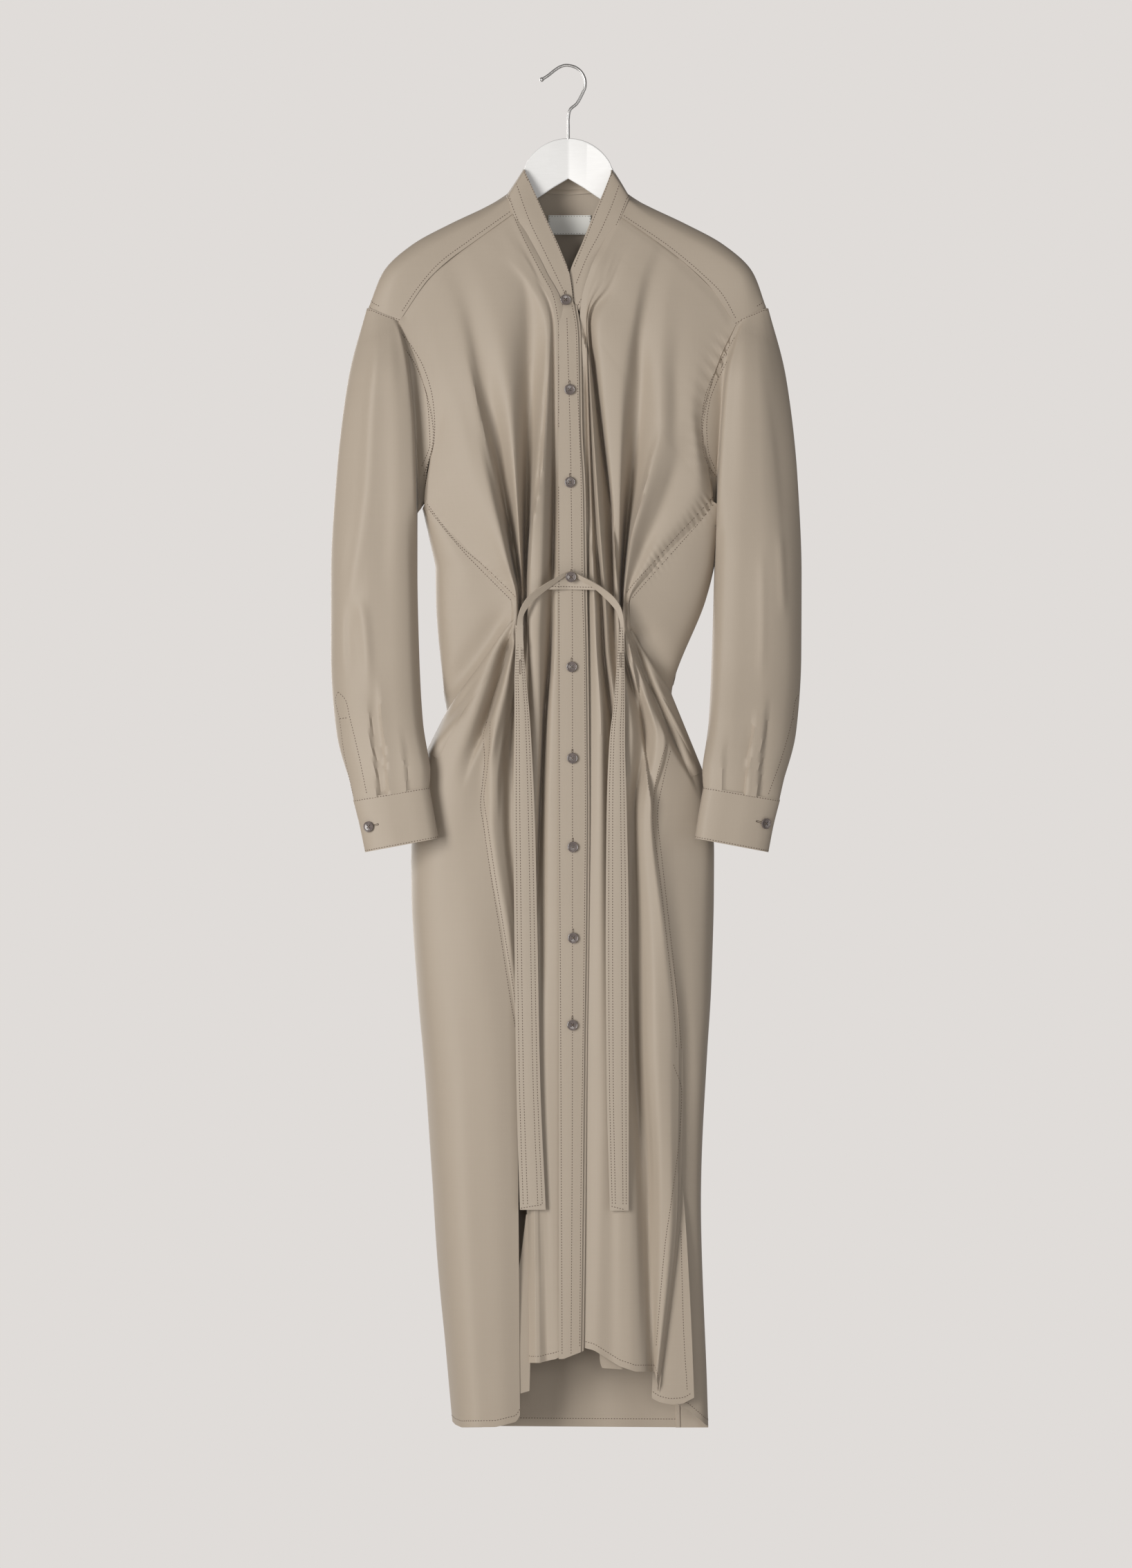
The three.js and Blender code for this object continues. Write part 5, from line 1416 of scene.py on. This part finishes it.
for inside in (False, True):
    sew_edge("neck_band", band, 1, "right", BAND_INSET, *BAND_BEHIND, inside=inside)

PLACKET_EDGE = [
    (829, 438), (836, 480), (838, 560), (843, 700), (845, 860), (848, 965), (849, 1180), (846, 1480),
    (843, 1700), (841, 1950),
]
PLACKET_ROWS = [
    ("placket_top", ("placket_top", "belt_flat"),
     [(807, 452), (808, 700), (809, 1100), (811, 1500), (813, 1960)]),
    ("placket_top", (), [(820, 460), (826, 700), (828, 1000), (828, 1500), (826, 1960)]),
    ("placket_top", (), [(x - 2.5, y) for x, y in PLACKET_EDGE]),
]
sew_rows(PLACKET_ROWS)

SLIT_ROW = [
    ("front_right", (),
     [(974, 1540), (986, 1580), (984, 1631), (972, 1730), (962, 1800), (956, 1864), (949, 1949)]),
]
for name, sheet, side in (
    ("front_left", left_front, 1), ("front_right", right_front, 1),
    ("side_left", left_side, -1), ("side_right", right_side, 1),
):
    sew_edge(name, sheet, side, "bottom", HEM_INSET)
sew_rows(SLIT_ROW)

SLEEVE_ROWS = [
    ("sleeve_left", (), [(489, 1001), (485, 1013), (491, 1040), (497, 1085), (512, 1156)]),
    ("sleeve_left", (), [(489, 1001), (500, 1013), (506, 1038), (518, 1088), (531, 1151)]),
    ("sleeve_left", (), [(491, 1040), (506, 1038)]),
    ("sleeve_right", (), [(1157, 1002), (1150, 1015), (1146, 1040), (1133, 1088), (1110, 1153)]),
    ("sleeve_right", (), [(1146, 1040), (1153, 1041)]),
]
sew_rows(SLEEVE_ROWS)
for name, sheet, side in (("cuff_left", left_cuff, -1), ("cuff_right", right_cuff, 1)):
    for edge in ("top", "bottom"):
        sew_edge(name, sheet, side, edge, EDGE_INSET, closed=True)
for name, sheet, side in (("sleeve_left", left_sleeve, -1), ("sleeve_right", right_sleeve, 1)):
    sew_edge(name, sheet, side, "top", EDGE_INSET, closed=True)

TAIL_ROWS = (0.13, 0.3, 0.7, 0.87)  # shares of a tail's width
TAIL_ROW_DROP = 4
for share in TAIL_ROWS:
    for name, rows in (("belt_tail_left", LEFT_TAIL), ("belt_tail_right", RIGHT_TAIL)):
        places = [(a + (b - a) * share, z + TAIL_ROW_DROP) for z, (a, b), _ in rows]
        sew(name, [(PHOTO_ZERO[0] + x / PIXEL, PHOTO_ZERO[1] - z / PIXEL) for x, z in places])
BELT_ROWS = [
    ("belt_tail_left", (), [(753, 1748), (788, 1742)]),
    ("belt_tail_right", (), [(884, 1745), (907, 1751)]),
    ("belt_bar", ("belt_flat",), [(794, 848.5), (868, 850)]),
]
SLIT_ROWS = [
    ("slit_edge_left", (), [(765, 1770), (760, 1830), (759, 1900), (758.5, 2012)]),
    ("slit_edge_left", (), [(752, 2012), (765, 2004)]),
    ("vent_flap_right", ("vent_flap_right", "side_right"),
     [(985, 1780), (986.5, 1850), (989, 1930), (994, 2012)]),
    ("vent_flap_right", (), [(944, 2013), (953, 2019), (970, 2023), (987, 2022), (1002, 2014)]),
]
sew_rows(BELT_ROWS)
sew_rows(SLIT_ROWS)


# Buttons and buttonholes

HOLE_RADIUS = 0.62
HOLE_DEPTH = 1.5
HOLE_PLACE = 1.35  # how far each of the four holes is from the middle, both ways
DISH_RADIUS = 4.0
DISH_HEIGHT = 1.9
DISH_SUNK = 0.35  # in its middle
RIM = ((4.3, 2.15), (4.7, 2.5), (5.1, 2.58), (5.5, 2.42), (5.8, 1.9), (5.8, 1.1), (5.4, 0.5), (4.6, 0.25))
BACK_MIDDLE = 0.2
ROUND_STEPS = 40
HOLE_STEPS = 10
BAR_TOPS = (0.2, 0.42)  # of the two crossed bars of thread, over the dish
BAR_HALF = 0.34
BAR_DROP = 1.1
BAR_CROWN = 0.22
BAR_DEEP = 0.5
BAR_PROFILE = (-1, -0.4, 0.4, 1)
BAR_STEPS = 9
SHANK_RADIUS = 1.3
SHANK_ENDS = (0.3, -1.4)
SHANK_STEPS = 12


def circle(radius, steps, middle=(0, 0)):
    turns = [2 * math.pi * i / steps for i in range(steps)]
    return [(middle[0] + radius * math.cos(t), middle[1] + radius * math.sin(t)) for t in turns]


def wall(lower, upper):
    """Quads between two closed loops of point numbers."""
    return list(zip(lower, lower[1:] + lower[:1], upper[1:] + upper[:1], upper))


def button_form():
    """A dished horn button with four real holes and its back at height 0: points, faces, holes' middles."""
    holes = [(sx * HOLE_PLACE, sz * HOLE_PLACE) for sx in (-1, 1) for sz in (-1, 1)]
    rings = [circle(DISH_RADIUS, ROUND_STEPS)]
    rings += [circle(HOLE_RADIUS, HOLE_STEPS, middle) for middle in holes]
    flat = [Vector(p) for ring_points in rings for p in ring_points]
    edges, loops, start = [], [], 0
    for ring_points in rings:
        count = len(ring_points)
        loops.append(list(range(start, start + count)))
        edges += [(start + i, start + (i + 1) % count) for i in range(count)]
        start += count
    vertices, _, triangles, *_ = delaunay_2d_cdt(flat, edges, [], 0, 1e-5)
    points = [(v.x, DISH_HEIGHT - DISH_SUNK * (1 - (v.length / DISH_RADIUS) ** 2), v.y) for v in vertices]
    faces = []
    for triangle in triangles:
        middle = sum((vertices[i] for i in triangle), Vector((0, 0))) / 3
        if all((middle - Vector(h)).length > HOLE_RADIUS * 0.97 for h in holes):
            faces.append(tuple(triangle))
    for loop in loops[1:]:
        deep = list(range(len(points), len(points) + len(loop)))
        points += [(points[i][0], DISH_HEIGHT - HOLE_DEPTH, points[i][2]) for i in loop]
        faces += wall(loop, deep)
        faces.append(tuple(deep))
    last = loops[0]
    for radius, height in RIM:
        ring_start = len(points)
        points += [(x, height, z) for x, z in circle(radius, ROUND_STEPS)]
        new = list(range(ring_start, ring_start + ROUND_STEPS))
        faces += wall(last, new)
        last = new
    points.append((0, BACK_MIDDLE, 0))
    faces += [(last[i], last[(i + 1) % ROUND_STEPS], len(points) - 1) for i in range(ROUND_STEPS)]
    return points, faces, holes


BUTTON = button_form()


def threads_form(holes):
    """Two crossed bars of thread from hole to hole, and the shank under the button."""
    points, faces = [], []
    a, b, c, d = holes
    for (x0, z0), (x1, z1), over in ((a, d, BAR_TOPS[0]), (b, c, BAR_TOPS[1])):
        across = Vector((z0 - z1, x1 - x0)).normalized() * BAR_HALF
        rows = []
        for t in np.linspace(0, 1, BAR_STEPS):
            height = DISH_HEIGHT + over - BAR_DROP * (2 * t - 1) ** 6  # down into the holes at both ends
            x, z = x0 + (x1 - x0) * t, z0 + (z1 - z0) * t
            row = [(x + across.x * u, height - BAR_CROWN * u * u, z + across.y * u) for u in BAR_PROFILE]
            rows.append([*row, (x, height - BAR_DEEP, z)])
        start = len(points)
        points += [p for row in rows for p in row]
        corners, end = len(rows[0]), len(points)
        faces += grid_faces(len(rows), corners, True, start)
        faces += [tuple(range(start, start + corners)), tuple(range(end - corners, end))[::-1]]
    near = list(range(len(points), len(points) + SHANK_STEPS))
    far = [i + SHANK_STEPS for i in near]
    for height in SHANK_ENDS:
        points += [(x, height, z) for x, z in circle(SHANK_RADIUS, SHANK_STEPS)]
    faces += [*wall(near, far), tuple(near), tuple(far[::-1])]
    return points, faces


HOLE_LONG = 11.5  # the buttonholes, and those in the belt's tails
TAIL_HOLE_LONG = 15
SATIN_PITCH = 0.55  # mm between the threads round a buttonhole
SATIN_END = 1.15  # half the thread that closes each end
SATIN_SIDES = (0.3, 1.05)  # from the cut to where a side's thread begins and ends
BUTTON_STAND = 0.35
BELT_BUTTON = 3  # the front button that holds the belt stands on its flat stretch
BELT_BUTTON_STAND = 4.4


def hole_bars(place, along, out, length):
    """Close satin stitches round a cut, as rows of short threads across it."""
    rows, side = [], out.cross(along).normalized()
    count = round(length / SATIN_PITCH)
    for i in range(count + 1):
        middle = place + along * (i * SATIN_PITCH - length / 2)
        if i in (0, count):
            rows.append((middle - side * SATIN_END, middle + side * SATIN_END, out))
        else:
            begin, end = SATIN_SIDES
            rows += [(middle + side * way * begin, middle + side * way * end, out) for way in (-1, 1)]
    return rows


def set_button(name, pixel, names, hole, hole_at, stand=BUTTON_STAND):
    """A button on whichever skin is nearest at a pixel, with its threads and its buttonhole."""
    place, out, _ = touch(*photo_point(*pixel), names)
    up = (Vector((0, 0, 1)) - out * out.z).normalized()
    turn = Matrix((up.cross(out), out, up)).transposed()
    form, faces, holes = BUTTON
    points = [place + out * stand + turn @ Vector(p) for p in form]
    mesh_piece(name, [tuple(p) for p in points], faces, HORN, (name,), "button", sharp=30)
    crossed, cross_faces = threads_form(holes)
    crossed = [place + out * stand + turn @ Vector(p) for p in crossed]
    mesh_piece(name + "_threads", [tuple(p) for p in crossed], cross_faces, THREAD)
    spot = touch(*photo_point(pixel[0] + hole_at[0], pixel[1] + hole_at[1]), names)
    along = Vector(hole).normalized()
    along = (along - spot[1] * along.dot(spot[1])).normalized()
    sewn.setdefault("buttonholes", []).extend(hole_bars(spot[0], along, spot[1], HOLE_LONG))


BUTTON_PIXELS = [
    (818, 434), (824, 564), (824.5, 698), (826.5, 835), (827, 965), (828, 1097), (828.6, 1225.5),
    (829, 1357), (828, 1483),
]
CUFF_BUTTONS = {
    "left": ((534, 1196), (1, 0, 0.25), (6, -1.5)),
    "right": ((1107, 1191.5), (1, 0, -0.25), (-6, -1.5)),
}
TAIL_HOLES = {"belt_tail_left": (752.5, 965), "belt_tail_right": (898, 955)}
UPRIGHT = (0, 0, 1)
for i, pixel in enumerate(BUTTON_PIXELS):
    if i == BELT_BUTTON:
        set_button(f"button_{i + 1}", pixel, ("belt_flat",), UPRIGHT, (0, -3), BELT_BUTTON_STAND)
    else:
        set_button(f"button_{i + 1}", pixel, ("placket_top", "neck_band"), UPRIGHT, (0, -5))
for side, (pixel, hole, hole_at) in CUFF_BUTTONS.items():
    set_button("cuff_button_" + side, pixel, ("cuff_" + side,), hole, hole_at)
for owner, pixel in TAIL_HOLES.items():
    spot = touch(*photo_point(*pixel), (owner,))
    sewn["buttonholes"] += hole_bars(spot[0], Vector(UPRIGHT), spot[1], TAIL_HOLE_LONG)


# Hanger, hook and label

HANGER_MIDDLE = 1.5
# Points of the hanger's outline, the same on both sides: x, the upper edge and the lower edge
HANGER_EDGES = [
    (0, -77.5, -121.5), (16, -80, -131), (30, -87.5, -140.5), (40, -97, -147), (47, -108, -151.5),
    (56, -128, -157.5), (65, -142.5, -164), (90, -160, -179), (128, -180, -199), (165, -199.5, -217),
    (182, -211, -225.5), (190, -217, -227), (195, -222, -226.5),
]
HEAD_RADIUS = 52.0
HEAD_TOP = -77.5
HEAD_HALF = 46
HEAD_STEPS = 33  # the points across each half of the head
HEAD_STEPS_END = 48
EDGE_ROUND = 1.6
# The board's two faces: their depth in the middle, and how much they come forward for each mm across
HEAD_BACK, HEAD_FRONT = (5.4, 0.09), (-1.6, 0.185)
LEAF_BACK, LEAF_FRONT = (3.8, 0.088), (-3.8, 0.088)
LEAF_FROM = 47
LEAF_FRONT_LIMIT = -10.3


def hanger_top(x, given):
    """The head of the hanger is a half disc."""
    if x > HEAD_HALF:
        return given
    return HEAD_TOP - HEAD_RADIUS + math.sqrt(HEAD_RADIUS**2 - x * x)


def hanger_form():
    """A lacquered board in two leaves that meet in a ridge and come forward to the shoulders."""
    arm = (edge[0] for edge in HANGER_EDGES if edge[0] > HEAD_STEPS_END)
    xs = sorted({*np.linspace(0, HEAD_STEPS_END, HEAD_STEPS), *arm})
    table = np.array(HANGER_EDGES, float)
    rows = []
    for x in [-x for x in xs[:0:-1]] + xs:
        far = abs(x)
        top = hanger_top(far, np.interp(far, table[:, 0], table[:, 1]))
        bottom = np.interp(far, table[:, 0], table[:, 2])
        if far < LEAF_FROM:
            back, front = HEAD_BACK[0] - HEAD_BACK[1] * far, HEAD_FRONT[0] - HEAD_FRONT[1] * far
        else:
            back = LEAF_BACK[0] - LEAF_BACK[1] * far
            front = min(LEAF_FRONT[0] - LEAF_FRONT[1] * far, LEAF_FRONT_LIMIT)
        e = min(EDGE_ROUND, (top - bottom) / 3)
        corner = e * 0.3
        profile = [
            (front, top - e), (front + corner, top - corner), (front + e, top), (back - e, top),
            (back - corner, top - corner), (back, top - e), (back, bottom + e),
            (back - corner, bottom + corner), (back - e, bottom), (front + e, bottom),
            (front + corner, bottom + corner), (front, bottom + e),
        ]
        rows.append([(HANGER_MIDDLE + x, y, z) for y, z in profile])
    points = seen(np.array(rows))
    rows_made, count = points.shape[:2]
    faces = grid_faces(rows_made, count, closed=True)
    faces += [tuple(range(count)), tuple(range(rows_made * count - 1, (rows_made - 1) * count - 1, -1))]
    return points.reshape(-1, 3), faces


mesh_piece("hanger", *hanger_form(), PAINT, ("hanger",), "hanger", sharp=24)

WIRE = 1.6
HOOK_RADIUS = 19.7
HOOK_MIDDLE = (0.3, -HOOK_RADIUS + WIRE)
HOOK_TIP = (-27.3, -13.8)
HOOK_BEND = (-20.5, -9.5)
HOOK_TURNS = (132, 110, 90, 65, 40, 15, -10, -32)  # degrees round the circle
HOOK_FOOT = [(11, -39.5), (3.5, -46.5), (1.5, -56), (1.5, -66), (1.5, -79)]
HOOK_STEPS = 16  # round the wire
TIP_BALL = 2.4
TIP_STEPS = 9
TIP_JOIN = 0.75  # radians from the ball's front to where the wire goes on


def flowing(points, steps):
    """An even smooth curve through points (Catmull and Rom's)."""
    given = np.array(points, float)
    given = np.concatenate([[2 * given[0] - given[1]], given, [2 * given[-1] - given[-2]]])
    made = []
    for a, b, c, d in zip(given, given[1:], given[2:], given[3:]):
        for t in np.arange(steps) / steps:
            square, cube = 2 * a - 5 * b + 4 * c - d, 3 * b - a - 3 * c + d
            made.append(0.5 * (2 * b + (c - a) * t + square * t * t + cube * t**3))
    made.append(given[-2])
    return np.array(made)


def hook_form():
    x, z = HOOK_MIDDLE
    turns = [math.radians(t) for t in HOOK_TURNS]
    bow = [(x + HOOK_RADIUS * math.cos(t), z + HOOK_RADIUS * math.sin(t)) for t in turns]
    line = flowing([HOOK_TIP, HOOK_BEND, *bow, *HOOK_FOOT], 8)
    along = np.gradient(line, axis=0)
    along /= np.linalg.norm(along, axis=1, keepdims=True)
    rows = []
    for t in np.linspace(math.pi, TIP_JOIN, TIP_STEPS):  # the ball at the tip, closed by the wire
        middle = line[0] + along[0] * TIP_BALL * math.cos(t)
        rows.append((middle, along[0], max(TIP_BALL * math.sin(t), 0.02)))
    rows += [(p, a, WIRE) for p, a in zip(line[1:], along[1:])]
    points = []
    for (x, z), (dx, dz), radius in rows:
        for across, depth in circle(radius, HOOK_STEPS):
            points.append((x - dz * across, depth, z + dx * across))
    faces = grid_faces(len(rows), HOOK_STEPS, True)
    faces += [tuple(range(HOOK_STEPS))[::-1], tuple(range(len(points) - HOOK_STEPS, len(points)))]
    return points, faces


mesh_piece("hook", *hook_form(), STEEL, ("hook",), "hook")

LABEL_HALF = (23.0, 10.5)
LABEL_PLACE = (3.0, 19.6, -171.5)
LABEL_GRID = (24, 12)
LABEL_BOW = 0.0012  # how its sides bend away
LABEL_RIPPLE = 0.25  # mm deep, and radians for each mm down
LABEL_INSET = 1.2


def label_point(x, z):
    bent = LABEL_BOW * x * x - LABEL_RIPPLE * math.cos(z * LABEL_RIPPLE)
    return LABEL_PLACE[0] + x, LABEL_PLACE[1] + bent, LABEL_PLACE[2] + z


label_across = np.linspace(-LABEL_HALF[0], LABEL_HALF[0], LABEL_GRID[0])
label_down = np.linspace(LABEL_HALF[1], -LABEL_HALF[1], LABEL_GRID[1])
label_sheet = np.array([[label_point(x, z) for x in label_across] for z in label_down])
label_placed = seen(label_sheet)
label_points, label_faces = two_layers(label_placed, LABEL_THICK, 1)
label_piece = mesh_piece("label", label_points, label_faces, SATIN, ("label",), "label")
cut["label"] = (label_piece, [label_placed], False)
for edge in ("top", "left", "right", "bottom"):
    sew_edge("label", label_sheet, 1, edge, LABEL_INSET)


for owner, rows in sewn.items():
    stitches_piece("stitches_" + owner, rows, PALE_THREAD if owner == "label" else THREAD)


def flat_size(sheets, closed):
    """How wide and long cloth was cut, and its area, all from its own arcs, in metres."""
    widths, lengths, area = [], [], 0.0
    for sheet in sheets:
        if closed:
            sheet = np.concatenate([sheet, sheet[:, :1]], axis=1)
        across, down = np.diff(sheet, axis=1), np.diff(sheet, axis=0)
        widths.append(np.linalg.norm(across, axis=-1).sum(axis=1).max())
        lengths.append(np.linalg.norm(down, axis=-1).sum(axis=0).max())
        area += np.linalg.norm(np.cross(across[:-1], down[:, :-1]), axis=-1).sum()
    width, length = max(widths) * MM, sum(lengths) * MM
    return (width, length), min(area * MM * MM, width * length)


for name, (piece, sheets, closed) in cut.items():
    size, area = flat_size(sheets, closed)
